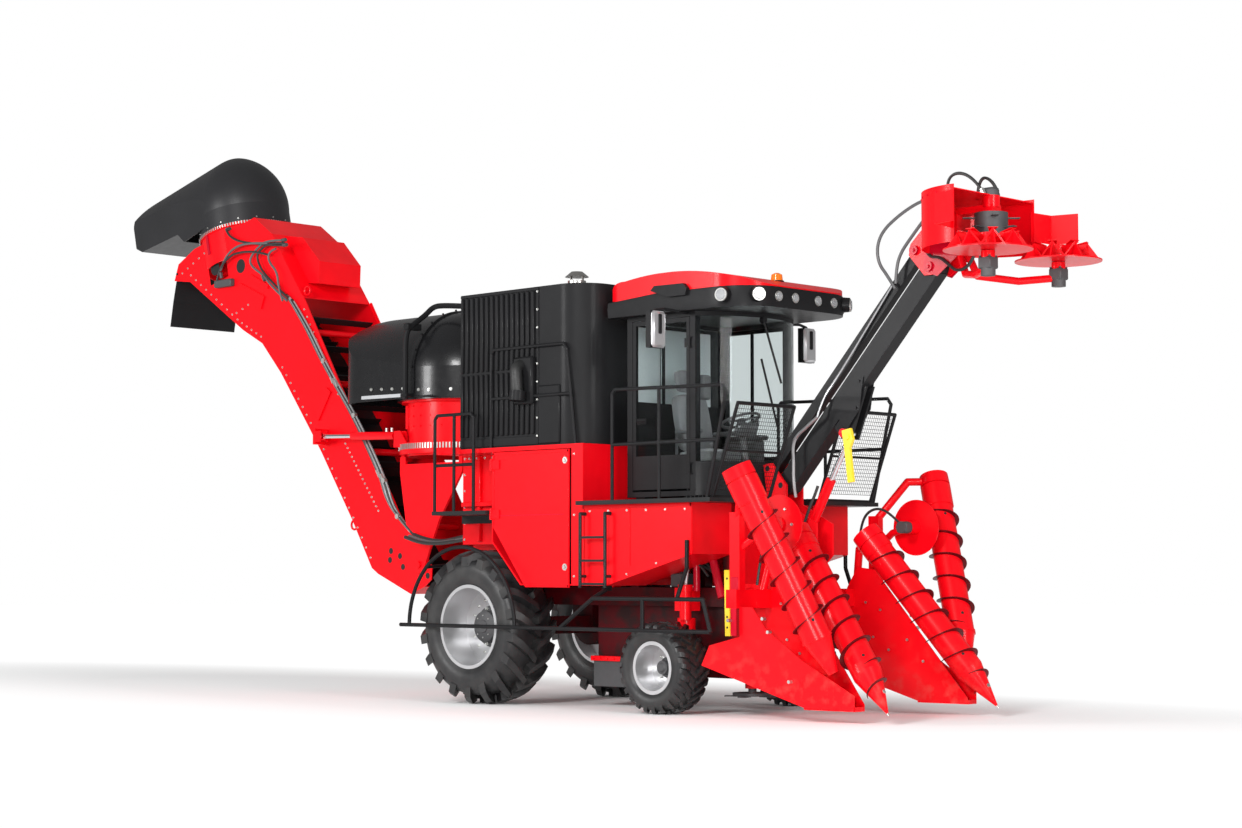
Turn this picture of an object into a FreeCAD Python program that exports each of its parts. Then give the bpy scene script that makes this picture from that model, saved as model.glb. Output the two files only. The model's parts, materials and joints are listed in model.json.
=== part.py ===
import FreeCAD, Part
import math
import os

# Self-propelled sugarcane harvester on four wheels, in millimetres.
# While it is being drawn, x = 0 is the rear axle, +X is forward, +Y is left and z = 0 is the ground.
# At the end every piece is shifted so that the origin is under the middle of the whole machine.

V = FreeCAD.Vector
X_AXIS = V(1, 0, 0)
Y_AXIS = V(0, 1, 0)
Z_AXIS = V(0, 0, 1)
SIDES = (("right", -1), ("left", 1))

# ---------------------------------------------------------------- driving dimensions
WHEELBASE = 2500.0
RUN_GAP = 0.3            # clearance between a moving skin and what it lies beside
SLEW_GAP = 1.0           # radial clearance of the big slewing ring
PIN_GAP = 0.08           # radial clearance of pins and shafts in their bores

REAR_TYRE_R = 785.0
REAR_TYRE_W = 600.0
REAR_RIM_R = 404.0
REAR_TRACK_Y = 940.0     # half the rear track
FRONT_TYRE_R = 437.0
FRONT_TYRE_W = 404.0
FRONT_RIM_R = 228.0
FRONT_TRACK_Y = 947.0    # half the front track

PLATE = 12.0             # body and elevator side plate
RAIL_R = 17.0            # handrail tube radius
GUARD_R = 20.0           # wheel guard tube radius
GUARD_ARCH_R = 800.0     # arch of the guard round the rear wheel
GUARD_Z = 795.0          # lower bar

FRAME_Y = 540.0          # outer face of the main frame beams
FRAME_BEAM_W = 110.0
FRAME_Z0 = 1010.0
FRAME_Z1 = 1190.0
FRAME_X0 = -560.0
FRAME_X1 = 3080.0

BODY_Y = 1150.0          # side plane of doors and tanks
GUARD_Y = BODY_Y + 160.0  # plane of the wheel guard
BODY_X0 = -600.0
BODY_Z0 = 1210.0
DECK_Z = 2030.0          # walking deck round the cab
DECK_T = 40.0
UPPER_Z0 = 2570.0        # engine deck, above the side doors

ENCLOSURE_X0 = -250.0
ENCLOSURE_X1 = 1560.0
ENCLOSURE_Y = 1100.0
ENCLOSURE_Z1 = 4200.0
CORNER_R = 330.0         # rounded front corners of the enclosure

CAB_X0 = 1790.0
CAB_X1 = 2700.0          # front pillars
CAB_Y = 720.0
CAB_Z0 = 2070.0
CAB_Z1 = 3860.0
CAB_BULGE = 330.0        # how far the windscreen bows forward of the pillars
ROOF_X0 = 1600.0
ROOF_X1 = 3480.0
ROOF_Y = 830.0
ROOF_Z1 = 4230.0

SLEW_X = -1350.0         # vertical axis of the elevator turntable and the main extractor
CHAMBER_R = 680.0
RING_R = CHAMBER_R + 80.0
RING_Z0 = 2620.0
RING_Z1 = 2740.0
HOOD_Z0 = 3215.0
HOOD_Z1 = 4190.0
HOOD_X0 = -2800.0
HOOD_Y = CHAMBER_R + 110.0
HOOD_T = 14.0
HOOD_RISE = 640.0        # height of the arch above the hood's upright sides
HOOD_HEEL = 190.0        # how far the rear edge leans forward at the foot

ELEV_Y = 500.0           # outer face of the elevator side plates
ELEV_PIVOT = (-1560.0, 1420.0)

SEC_X = -5480.0          # middle of the secondary extractor's ring
SEC_Z = 5480.0
SEC_TILT = 14.0          # degrees that its axis leans back
SEC_R = 565.0

TOPPER_PIVOT = (3260.0, 2170.0)
TOPPER_TIP = (5030.0, 4115.0)
TOPPER_LINK = (-165.0, 165.0)    # from the boom's pins to the link's pins

nodes = {}


# ---------------------------------------------------------------- shape helpers
def box(x0, x1, y0, y1, z0, z1):
    """Upright block between two corners."""
    return Part.makeBox(x1 - x0, y1 - y0, z1 - z0, V(x0, y0, z0))


def cyl(x, y, z, radius, length, axis=Z_AXIS):
    """Solid cylinder from a centre point along an axis."""
    return Part.makeCylinder(radius, length, V(x, y, z), axis)


def cyl_y(x, z, y0, y1, radius):
    """Cylinder along Y between two side planes."""
    return Part.makeCylinder(radius, y1 - y0, V(x, y0, z), Y_AXIS)


def rod(start, end, radius):
    """Round bar between two points."""
    a = V(*start)
    b = V(*end)
    return Part.makeCylinder(radius, (b - a).Length, a, b - a)


def cone(start, end, r0, r1):
    """Tapered round bar between two points."""
    a = V(*start)
    b = V(*end)
    return Part.makeCone(r0, r1, (b - a).Length, a, b - a)


def bar(start, end, width, depth):
    """Rectangular tube outline between two points in the XZ plane, width across Y."""
    a = V(*start)
    b = V(*end)
    along = (b - a).normalize()
    side = V(-along.z, 0, along.x) * (depth / 2)
    corners = [a - side, b - side, b + side, a + side, a - side]
    face = Part.Face(Part.makePolygon([c - Y_AXIS * (width / 2) for c in corners]))
    return face.extrude(Y_AXIS * width)


def side_plate(points, y0, y1):
    """Outline in the XZ plane given thickness across Y."""
    wire = Part.makePolygon([V(x, y0, z) for x, z in points] + [V(points[0][0], y0, points[0][1])])
    return Part.Face(wire).extrude(Y_AXIS * (y1 - y0))


def flat_plate(points, z0, z1):
    """Outline in the XY plane given thickness up Z."""
    wire = Part.makePolygon([V(x, y, z0) for x, y in points] + [V(points[0][0], points[0][1], z0)])
    return Part.Face(wire).extrude(Z_AXIS * (z1 - z0))


def strip(points, y0, y1, thickness):
    """Bent sheet that follows a line of XZ points, thickness downwards."""
    below = [(x, z - thickness) for x, z in reversed(points)]
    return side_plate(list(points) + below, y0, y1)


def tube_run(points, radius):
    """Round tube through points, with ball corners."""
    parts = [rod(a, b, radius) for a, b in zip(points, points[1:])]
    parts += [Part.makeSphere(radius, V(*p)) for p in points[1:-1]]
    return fuse(parts)


def fuse(shapes):
    """One solid from pieces that are welded together."""
    solids = [solid for shape in shapes for solid in shape.Solids]
    if len(solids) == 1:
        return solids[0]
    return solids[0].multiFuse(solids[1:])


def ring(x, y0, y1, z, outer, inner):
    """Flat ring or bush along Y."""
    return cyl_y(x, z, y0, y1, outer).cut(cyl_y(x, z, y0 - 1, y1 + 1, inner))


def turned(shape, pivot, axis, degrees):
    """A copy turned about an axis."""
    copy = shape.copy()
    copy.rotate(V(*pivot), axis, degrees)
    return copy


HINGE_R = 14.0
HINGE_PIN_R = 8.0
HINGE_LEN = 90.0


def hinge_leaf(x, y, z, face_y, reach):
    """Barrel of a door hinge with the strap that joins it to the door's outer face."""
    y0, y1 = sorted((face_y, y))
    x0, x1 = sorted((x, x + reach))
    strap = box(x0, x1, y0, y1, z, z + HINGE_LEN)
    barrel = fuse([cyl(x, y, z, HINGE_R, HINGE_LEN), strap])
    return barrel.cut(cyl(x, y, z - 1, HINGE_PIN_R + PIN_GAP, HINGE_LEN + 2))


def hinge_post(x, y, z, face_y, inset):
    """Pin of a door hinge with the two ears that join it to the post."""
    y0, y1 = sorted((face_y, y))
    x0, x1 = sorted((x + inset, x - math.copysign(5, inset)))
    ears = [box(x0, x1, y0, y1, level, level + 10) for level in (z - 11, z + HINGE_LEN + 1)]
    ears += [cyl(x, y, level, HINGE_R, 10) for level in (z - 11, z + HINGE_LEN + 1)]
    return fuse(ears + [cyl(x, y, z - 11, HINGE_PIN_R, HINGE_LEN + 22)])


def revolved(profile, pivot, axis, angle=360.0):
    """Solid of revolution from a closed outline of vectors."""
    face = Part.Face(Part.makePolygon(profile + [profile[0]]))
    return face.revolve(V(*pivot), axis, angle)


# ---------------------------------------------------------------- wheels, axles and steering
TYRE_WALL = 38.0
TYRE_SHOULDER = 70.0
HUB_FACE = 70.0          # how far the rim's disc is set in from the wheel's middle
RIM_T = 10.0
SEAT_GAP = 0.5           # between a tyre's bead and its rim


def tyre(x, side, track, radius, width, rim_r):
    """Hollow tyre carcass with rounded shoulders, open at its bead."""
    y_mid = side * track
    half = width / 2
    bead = half - 45.0
    outline = [
        (rim_r, -bead), (rim_r + 30, -bead), (rim_r + 60, -half), (radius - 110, -half),
        (radius - 12, -half + TYRE_SHOULDER), (radius, -half + TYRE_SHOULDER + 40),
        (radius, half - TYRE_SHOULDER - 40), (radius - 12, half - TYRE_SHOULDER), (radius - 110, half),
        (rim_r + 60, half), (rim_r + 30, bead), (rim_r, bead),
    ]
    inner = [
        (rim_r, -bead + TYRE_WALL), (rim_r + 60, -half + TYRE_WALL), (radius - 120, -half + TYRE_WALL),
        (radius - TYRE_WALL - 20, -half + TYRE_SHOULDER + 20),
        (radius - TYRE_WALL - 20, half - TYRE_SHOULDER - 20),
        (radius - 120, half - TYRE_WALL), (rim_r + 60, half - TYRE_WALL), (rim_r, bead - TYRE_WALL),
    ]
    profile = outline + list(reversed(inner))
    return revolved([V(x, y_mid + y, radius + r) for r, y in profile], (x, 0, radius), Y_AXIS)


def rim(x, side, track, radius, width, rim_r, bore):
    """Steel rim: a barrel that the beads sit on, and a dished disc set towards the machine."""
    y_mid = side * track
    bead = width / 2 - 45.0 + SEAT_GAP
    barrel = ring(x, y_mid - bead - 1, y_mid + bead + 1, radius, rim_r - SEAT_GAP, rim_r - RIM_T)
    lips = []
    for end in (-bead, bead):
        lip_y = y_mid + end - (12 if end < 0 else 0)
        lips.append(ring(x, lip_y, lip_y + 12, radius, rim_r + 24, rim_r - RIM_T))
    disc_y = y_mid - side * HUB_FACE
    disc = ring(x, disc_y - 9, disc_y + 9, radius, rim_r - RIM_T + 2, bore)
    return fuse([barrel, disc] + lips)


REAR_SPINDLE_R = 150.0
REAR_BORE_R = REAR_SPINDLE_R + PIN_GAP
FRONT_SPINDLE_R = 62.0
FRONT_BORE_R = FRONT_SPINDLE_R + PIN_GAP
STEER_X = WHEELBASE
STEER_Y = 635.0          # king pins
KING_R = 48.0

for name, side in SIDES:
    nodes["rear_tyre_" + name] = tyre(0, side, REAR_TRACK_Y, REAR_TYRE_R, REAR_TYRE_W, REAR_RIM_R)
    nodes["rear_rim_" + name] = rim(0, side, REAR_TRACK_Y, REAR_TYRE_R, REAR_TYRE_W, REAR_RIM_R, REAR_BORE_R)
    nodes["front_tyre_" + name] = tyre(
        WHEELBASE, side, FRONT_TRACK_Y, FRONT_TYRE_R, FRONT_TYRE_W, FRONT_RIM_R
    )
    nodes["front_rim_" + name] = rim(
        WHEELBASE, side, FRONT_TRACK_Y, FRONT_TYRE_R, FRONT_TYRE_W, FRONT_RIM_R, FRONT_BORE_R
    )


def rear_axle():
    """Drive motors on a cross beam hung from the frame, one solid."""
    parts = [box(-120, 120, -FRAME_Y, FRAME_Y, REAR_TYRE_R - 90, REAR_TYRE_R + 90)]
    disc_y = REAR_TRACK_Y - HUB_FACE
    for side in (-1, 1):
        y0, y1 = sorted((side * (FRAME_Y - 20), side * (disc_y - 40)))
        parts.append(cyl_y(0, REAR_TYRE_R, y0, y1, 220))
        y0, y1 = sorted((side * (disc_y - 60), side * (disc_y + 110)))
        parts.append(cyl_y(0, REAR_TYRE_R, y0, y1, REAR_SPINDLE_R))
        y0, y1 = sorted((side * (FRAME_Y - FRAME_BEAM_W), side * FRAME_Y))
        parts.append(box(-150, 150, y0, y1, REAR_TYRE_R - 60, FRAME_Z0))
    return fuse(parts)


def front_axle():
    """Two height struts on the frame, each ending in the fork that holds a king pin."""
    parts = []
    for side in (-1, 1):
        y0, y1 = sorted((side * FRAME_Y, side * (STEER_Y + 70)))
        parts.append(box(STEER_X - 90, STEER_X + 90, y0, y1, FRAME_Z0 - 40, FRAME_Z1))
        parts.append(cyl(STEER_X, side * STEER_Y, FRONT_TYRE_R + 150, KING_R, 520))
    return fuse(parts)


def knuckle(side):
    """Steering knuckle: a sleeve round the king pin and the spindle that the wheel runs on."""
    sleeve = cyl(STEER_X, side * STEER_Y, FRONT_TYRE_R - 95, 88, 560)
    pin = cyl(STEER_X, side * STEER_Y, FRONT_TYRE_R + 149, KING_R + PIN_GAP, 500)
    disc_y = FRONT_TRACK_Y - HUB_FACE
    y0, y1 = sorted((side * STEER_Y, side * (disc_y - 20)))
    hub = cyl_y(WHEELBASE, FRONT_TYRE_R, y0, y1, 95)
    y0, y1 = sorted((side * (disc_y - 30), side * (disc_y + 75)))
    spindle = cyl_y(WHEELBASE, FRONT_TYRE_R, y0, y1, FRONT_SPINDLE_R)
    y0, y1 = sorted((side * (STEER_Y - 95), side * STEER_Y))
    arm = box(STEER_X - 150, STEER_X - 30, y0, y1, FRONT_TYRE_R + 30, FRONT_TYRE_R + 60)
    return fuse([sleeve, hub, spindle, arm]).cut(pin)


nodes["rear_axle"] = rear_axle()
nodes["front_axle"] = front_axle()
for name, side in SIDES:
    nodes["steering_knuckle_" + name] = knuckle(side)


# ---------------------------------------------------------------- main frame, topper tower and throat
THROAT_Y = 480.0         # outer face of the throat walls
THROAT_T = 14.0
THROAT_X0 = 1150.0
TOWER_Y = 130.0          # outer face of the two topper lugs
TOWER_T = 26.0
TOWER_X1 = 3700.0
PIN_R = 28.0
LIFT_BASE = (3455.0, 1640.0)     # foot pin of the topper's lift cylinder
BOOM_W = 150.0
ROLLER_X = 3250.0
ROLLER_Z = 800.0
ROLLER_R = 130.0
CUTTER_X = 3030.0
CUTTER_Y = 285.0
CUTTER_R = 265.0
CUTTER_Z = 165.0
LEG_R = 70.0
LEG_BORE_R = 40.0
DIVIDER_HINGE = (3170.0, 1120.0)
DIVIDER_PIN_R = 32.0

TOW_EYE = (-830.0, 1100.0)        # bore of the rear towing clevis, behind the tyres so that its pin goes in
TOW_GAP = 80.0
TOW_T = 25.0
TOW_PIN_R = 25.0
TIE_EYE = (3330.0, 1400.0)       # lashing bore through both tower lugs
TIE_R = 30.0

topper_link_foot = (TOPPER_PIVOT[0] + TOPPER_LINK[0], TOPPER_PIVOT[1] + TOPPER_LINK[1])


def chassis_frame():
    """Two box beams, cross members, cab posts and the tower that carries the topper."""
    parts = []
    for side in (-1, 1):
        y0, y1 = sorted((side * (FRAME_Y - FRAME_BEAM_W), side * FRAME_Y))
        parts.append(box(FRAME_X0, FRAME_X1, y0, y1, FRAME_Z0, FRAME_Z1))
        for x in (1660.0, 2890.0):
            parts.append(box(x, x + 110, y0, y1, FRAME_Z1 - 10, DECK_Z - DECK_T))
    for x in (FRAME_X0, 620.0, 1660.0, FRAME_X1 - 110):
        parts.append(box(x, x + 110, -FRAME_Y + 50, FRAME_Y - 50, FRAME_Z0 + 30, FRAME_Z1 - 20))
    bulkhead_y = FRAME_Y - 60
    parts.append(box(FRAME_X1 - 30, FRAME_X1 + 20, -bulkhead_y, bulkhead_y, FRAME_Z0 + 30, DECK_Z - DECK_T))
    lug = [
        (FRAME_X1 + 10, 1230), (3420, 1230), (TOWER_X1, 1500), (TOWER_X1, 1800),
        (3330, 1990), (TOPPER_PIVOT[0] + 70, TOPPER_PIVOT[1]),
        (topper_link_foot[0] + 55, topper_link_foot[1] + 50),
        (topper_link_foot[0] - 50, topper_link_foot[1] + 40),
        (FRAME_X1 + 10, DECK_Z - DECK_T + 60), (FRAME_X1 + 10, 1700),
    ]
    for side in (-1, 1):
        y0, y1 = sorted((side * (TOWER_Y - TOWER_T), side * TOWER_Y))
        parts.append(side_plate(lug, y0, y1))
    tx, tz = TOW_EYE
    for side in (-1, 1):
        y0, y1 = sorted((side * TOW_GAP / 2, side * (TOW_GAP / 2 + TOW_T)))
        ear = fuse([cyl_y(tx, tz, y0, y1, 55), box(tx, FRAME_X0 + 40, y0, y1, tz - 55, tz + 55)])
        parts.append(ear)
    frame = fuse(parts)
    for x, z in (TOPPER_PIVOT, topper_link_foot, LIFT_BASE):
        frame = frame.cut(cyl_y(x, z, -FRAME_Y, FRAME_Y, PIN_R + PIN_GAP))
    frame = frame.cut(cyl_y(tx, tz, -200, 200, TOW_PIN_R))
    return frame.cut(cyl_y(TIE_EYE[0], TIE_EYE[1], -200, 200, TIE_R))


THROAT_TOP = FRAME_Z0


def throat_walls():
    """Side walls of the cane throat, a roof behind the roller, legs of the base cutters and divider pins."""
    outline = [
        (THROAT_X0, 330), (3000, 330), (3420, 560), (3420, 1040), (3300, 1230), (FRAME_X1 + 30, 1230),
        (FRAME_X1 + 30, THROAT_TOP), (THROAT_X0, THROAT_TOP),
    ]
    parts = []
    for side in (-1, 1):
        y0, y1 = sorted((side * (THROAT_Y - THROAT_T), side * THROAT_Y))
        parts.append(side_plate(outline, y0, y1))
        y0, y1 = sorted((side * (THROAT_Y - 5), side * (THROAT_Y + 250)))
        pin = cyl_y(DIVIDER_HINGE[0], DIVIDER_HINGE[1], y0, y1, DIVIDER_PIN_R)
        parts.append(pin)
    inside = THROAT_Y - THROAT_T + 2
    parts.append(box(THROAT_X0, 2960, -inside, inside, THROAT_TOP - 30, THROAT_TOP - 10))
    parts.append(box(THROAT_X0, 2500, -inside, inside, 330, 350))
    parts.append(box(THROAT_X0, THROAT_X0 + 20, -inside, inside, 330, THROAT_TOP - 10))
    parts.append(box(2880, 3110, -inside, inside, 700, 850))
    for side in (-1, 1):
        leg = cyl(CUTTER_X, side * CUTTER_Y, CUTTER_Z + 70, LEG_R, 600)
        parts.append(leg)
    walls = fuse(parts)
    for side in (-1, 1):
        walls = walls.cut(cyl(CUTTER_X, side * CUTTER_Y, CUTTER_Z, LEG_BORE_R + RUN_GAP, 500))
    return walls.cut(cyl_y(ROLLER_X, ROLLER_Z, -THROAT_Y - 1, THROAT_Y + 1, 35 + PIN_GAP))


def knockdown_roller():
    """Finned roller across the mouth of the throat, on a through shaft."""
    half = THROAT_Y - THROAT_T - 8
    parts = [cyl_y(ROLLER_X, ROLLER_Z, -THROAT_Y - 20, THROAT_Y + 20, 35)]
    parts.append(cyl_y(ROLLER_X, ROLLER_Z, -half, half, ROLLER_R - 35))
    fin = box(ROLLER_X - 6, ROLLER_X + 6, -half, half, ROLLER_Z + ROLLER_R - 45, ROLLER_Z + ROLLER_R)
    for step in range(6):
        parts.append(turned(fin, (ROLLER_X, 0, ROLLER_Z), Y_AXIS, 60 * step))
    return fuse(parts)


def base_cutter(side):
    """Disc with five blades on a vertical shaft."""
    y = side * CUTTER_Y
    parts = [cyl(CUTTER_X, y, CUTTER_Z, 190, 30), cyl(CUTTER_X, y, CUTTER_Z + 10, LEG_BORE_R, 480)]
    blade = box(CUTTER_X + 120, CUTTER_X + CUTTER_R, y - 40, y + 40, CUTTER_Z - 8, CUTTER_Z + 2)
    for step in range(5):
        parts.append(turned(blade, (CUTTER_X, y, 0), Z_AXIS, 72 * step + (36 if side > 0 else 0)))
    return fuse(parts)


nodes["chassis_frame"] = chassis_frame()
nodes["throat_walls"] = throat_walls()
nodes["knockdown_roller"] = knockdown_roller()
for name, side in SIDES:
    nodes["base_cutter_" + name] = base_cutter(side)


# ---------------------------------------------------------------- body, engine, doors and tanks
BAY_X0 = 290.0
BAY_X1 = 1590.0
SHELL_Y = BODY_Y - PLATE         # outer face of the body behind the doors
REAR_SHELL_Y = 750.0
WELL_Y = 600.0           # side of the narrow part between the rear tyres
WELL_Z = 1640.0          # roof of the wheel wells
WELL_X1 = 700.0          # front foot of the slanted well liner
DOOR_X1 = 1410.0
DOOR_GAP = 6.0
TANK_X0 = 1600.0
TANK_X1 = 3050.0
TANK_Y0 = 600.0
TANK_Z0 = 1210.0
TANK_NOSE_Z = 1510.0


def body_shell():
    """Welded body: the narrow rear housing and the wide engine bay with open sides."""
    parts = []
    inner = REAR_SHELL_Y - PLATE + 2
    for side in (-1, 1):
        y0, y1 = sorted((side * (REAR_SHELL_Y - PLATE), side * REAR_SHELL_Y))
        parts.append(box(BODY_X0, BAY_X0, y0, y1, WELL_Z - PLATE, UPPER_Z0))
        y0, y1 = sorted((side * (WELL_Y - PLATE), side * WELL_Y))
        parts.append(box(BODY_X0, WELL_X1, y0, y1, BODY_Z0, WELL_Z))
        y0, y1 = sorted((side * (WELL_Y - PLATE), side * REAR_SHELL_Y))
        parts.append(box(BODY_X0, BAY_X0, y0, y1, WELL_Z - PLATE, WELL_Z))
        y0, y1 = sorted((side * (SHELL_Y - 60), side * SHELL_Y))
        parts.append(box(DOOR_X1 + 20, BAY_X1, y0, y1, BODY_Z0, UPPER_Z0))
        y0, y1 = sorted((side * (WELL_Y - PLATE), side * SHELL_Y))
        liner = [
            (BAY_X0 - PLATE, WELL_Z - PLATE), (BAY_X0, WELL_Z - PLATE), (WELL_X1, BODY_Z0),
            (WELL_X1 + 20, BODY_Z0), (WELL_X1 + 20, BODY_Z0 + 6),
            (BAY_X0, WELL_Z + 10), (BAY_X0 - PLATE, WELL_Z + 10),
        ]
        parts.append(side_plate(liner, y0, y1))
    rear_wall = box(BODY_X0, BODY_X0 + PLATE, -inner, inner, WELL_Z - PLATE, UPPER_Z0)
    rear_wall = rear_wall.fuse(box(BODY_X0, BODY_X0 + PLATE, -WELL_Y + 2, WELL_Y - 2, BODY_Z0, WELL_Z))
    outlet = box(BODY_X0 - 1, BODY_X0 + PLATE + 1, -420, 420, 1500, 2150)
    parts.append(rear_wall.cut(outlet))
    parts.append(box(BAY_X0 - PLATE, BAY_X0, -SHELL_Y, SHELL_Y, WELL_Z, UPPER_Z0))
    parts.append(box(BAY_X1 - PLATE, BAY_X1, -SHELL_Y, SHELL_Y, BODY_Z0, UPPER_Z0))
    parts.append(box(BODY_X0, WELL_X1 + 20, -WELL_Y + 2, WELL_Y - 2, BODY_Z0, BODY_Z0 + PLATE))
    parts.append(box(WELL_X1, BAY_X1, -SHELL_Y, SHELL_Y, BODY_Z0, BODY_Z0 + PLATE))
    parts.append(box(BODY_X0, BAY_X1, -SHELL_Y, SHELL_Y, UPPER_Z0 - PLATE, UPPER_Z0 + 30))
    for side in (-1, 1):
        y0, y1 = sorted((side * (FRAME_Y - FRAME_BEAM_W), side * FRAME_Y))
        for x in (-450.0, 420.0, 1300.0):
            parts.append(box(x, x + 120, y0, y1, FRAME_Z1, BODY_Z0 + 6))
        for z in ENGINE_HINGE_Z:
            parts.append(hinge_post(ENGINE_HINGE_X, side * ENGINE_HINGE_Y, z, side * (SHELL_Y - 10), -10))
    return fuse(parts)


ENGINE_HINGE_X = BAY_X0 - 2.0
ENGINE_HINGE_Y = BODY_Y + HINGE_R
ENGINE_HINGE_Z = (1880.0, 2380.0)
DOOR_SLANT = math.radians(38.35)     # from the X axis to the slanted edge's normal


def engine_door(side):
    """Side door of the engine bay. Its lower rear corner is cut off so that it clears the wheel guard."""
    reach = GUARD_ARCH_R + GUARD_R + 40
    x0 = BAY_X0 + DOOR_GAP
    z0 = BODY_Z0 - 20
    slant_z = GUARD_Z + (reach - math.cos(DOOR_SLANT) * x0) / math.sin(DOOR_SLANT)
    slant_x = (reach - math.sin(DOOR_SLANT) * (z0 - GUARD_Z)) / math.cos(DOOR_SLANT)
    outline = [(x0, slant_z), (slant_x, z0), (DOOR_X1, z0), (DOOR_X1, UPPER_Z0 - 20), (x0, UPPER_Z0 - 20)]
    y0, y1 = sorted((side * (SHELL_Y + RUN_GAP), side * BODY_Y))
    parts = [side_plate(outline, y0, y1)]
    for z in ENGINE_HINGE_Z:
        parts.append(hinge_leaf(ENGINE_HINGE_X, side * ENGINE_HINGE_Y, z, side * BODY_Y, 120))
    return fuse(parts)


def side_tank(side):
    """Fuel or oil tank under the cab deck, its floor rising over the front wheel."""
    outline = [
        (TANK_X0, TANK_Z0), (TANK_X0 + 320, TANK_Z0), (TANK_X1, TANK_NOSE_Z),
        (TANK_X1, DECK_Z - DECK_T), (TANK_X0, DECK_Z - DECK_T),
    ]
    y0, y1 = sorted((side * TANK_Y0, side * BODY_Y))
    return side_plate(outline, y0, y1)


ENGINE = (420.0, 1480.0, 1330.0, 2350.0)     # x0, x1, z0, z1
engine_x0, engine_x1, engine_z0, engine_z1 = ENGINE
engine = fuse([
    box(engine_x0, engine_x1, -420, 420, engine_z0, engine_z1),
    box(engine_x0 + 100, engine_x0 + 220, -380, 380, BODY_Z0 + PLATE, engine_z0 + 5),
    box(engine_x1 - 220, engine_x1 - 100, -380, 380, BODY_Z0 + PLATE, engine_z0 + 5),
])
nodes["body_shell"] = body_shell()
nodes["engine_block"] = engine
nodes["side_tanks"] = Part.makeCompound([side_tank(side) for name, side in SIDES])
for name, side in SIDES:
    nodes["engine_door_" + name] = engine_door(side)


def enclosure():
    """Cooling pack cover above the engine deck: thin walls, rounded front corners, open underneath."""
    def outline(inset, z0, z1):
        block = box(
            ENCLOSURE_X0 + inset, ENCLOSURE_X1 - inset,
            -ENCLOSURE_Y + inset, ENCLOSURE_Y - inset, z0, z1,
        )
        edges = [
            e for e in block.Edges
            if abs(e.tangentAt(e.FirstParameter).z) > 0.9 and e.CenterOfMass.x > ENCLOSURE_X1 - inset - 1
        ]
        return block.makeFillet(CORNER_R - inset, edges)
    floor = UPPER_Z0 + 30
    return outline(0, floor, ENCLOSURE_Z1).cut(outline(PLATE, floor - 1, ENCLOSURE_Z1 - PLATE))


def exhaust_stack():
    """Silencer outlet pipe through the cover, with a rain cap held off its mouth."""
    x, y, z = 650.0, -300.0, ENCLOSURE_Z1
    pipe = cyl(x, y, z, 95, 150).cut(cyl(x, y, z + 10, 82, 200))
    cap = Part.makeCone(125, 60, 55, V(x, y, z + 190))
    stays = [box(x + dx - 5, x + dx + 5, y - 12, y + 12, z + 20, z + 200) for dx in (-86, 86)]
    return fuse([pipe, cap] + stays)


nodes["engine_enclosure"] = enclosure()
nodes["exhaust_stack"] = exhaust_stack()


# ---------------------------------------------------------------- wheel guards, decks, ladders and rails
GUARD_UPPER_Z = 1090.0
GUARD_X0 = -940.0
GUARD_X1 = 3420.0
DECK_Y = BODY_Y + 100.0
DECK_X1 = 3360.0
BOOM_SLOT_Y = 340.0      # half the gap in the front deck and rail for the topper
REAR_DECK_Z = 1965.0
RAIL_Y = DECK_Y - 22.0
RAIL_TOP_Z = 3090.0
RAIL_MID_Z = 2560.0


def guard(side):
    """Bent tube guard along one side, with the brackets that tie it to frame, tanks and body."""
    y = side * GUARD_Y
    hoop = Part.Face(Part.Wire(Part.makeCircle(GUARD_R, V(GUARD_ARCH_R, y, GUARD_Z), Z_AXIS)))
    parts = [hoop.revolve(V(0, y, GUARD_Z), Y_AXIS, -180)]
    parts.append(rod((GUARD_X0, y, GUARD_Z), (GUARD_X1, y, GUARD_Z), GUARD_R))
    parts.append(tube_run([(1440, y, GUARD_Z), (1900, y, GUARD_UPPER_Z), (3330, y, GUARD_UPPER_Z),
                           (GUARD_X1, y, GUARD_Z)], GUARD_R))
    parts.append(rod((2560, y, GUARD_Z), (2560, y, GUARD_UPPER_Z), GUARD_R))
    parts.append(rod((1900, y, GUARD_UPPER_Z), (1900, side * (BODY_Y - 60), TANK_Z0 - 20), GUARD_R))
    y0, y1 = sorted((side * (BODY_Y - 90), side * (BODY_Y - 20)))
    parts.append(box(1850, 1915, y0, y1, TANK_Z0 - 50, TANK_Z0))
    stay_z = TANK_NOSE_Z - 130
    stay_y = side * (BODY_Y + 20)
    parts.append(rod((3000, y, GUARD_UPPER_Z), (3000, stay_y, stay_z), GUARD_R))
    parts.append(rod((3000, stay_y, stay_z), (3000, stay_y, stay_z + 260), GUARD_R))
    stay = math.radians(132)
    x = GUARD_ARCH_R * math.cos(stay)
    z = GUARD_Z + GUARD_ARCH_R * math.sin(stay)
    y0, y1 = sorted((side * WELL_Y, y))
    stay = rod((x, y + side * 6, z), (x, side * (WELL_Y - 60), z + 60), GUARD_R - 3)
    parts.append(stay.common(box(x - 60, x + 60, y0, y1, z - 60, z + 120)))
    return fuse(parts)


nodes["wheel_guards"] = Part.makeCompound([guard(side) for name, side in SIDES])


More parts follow.
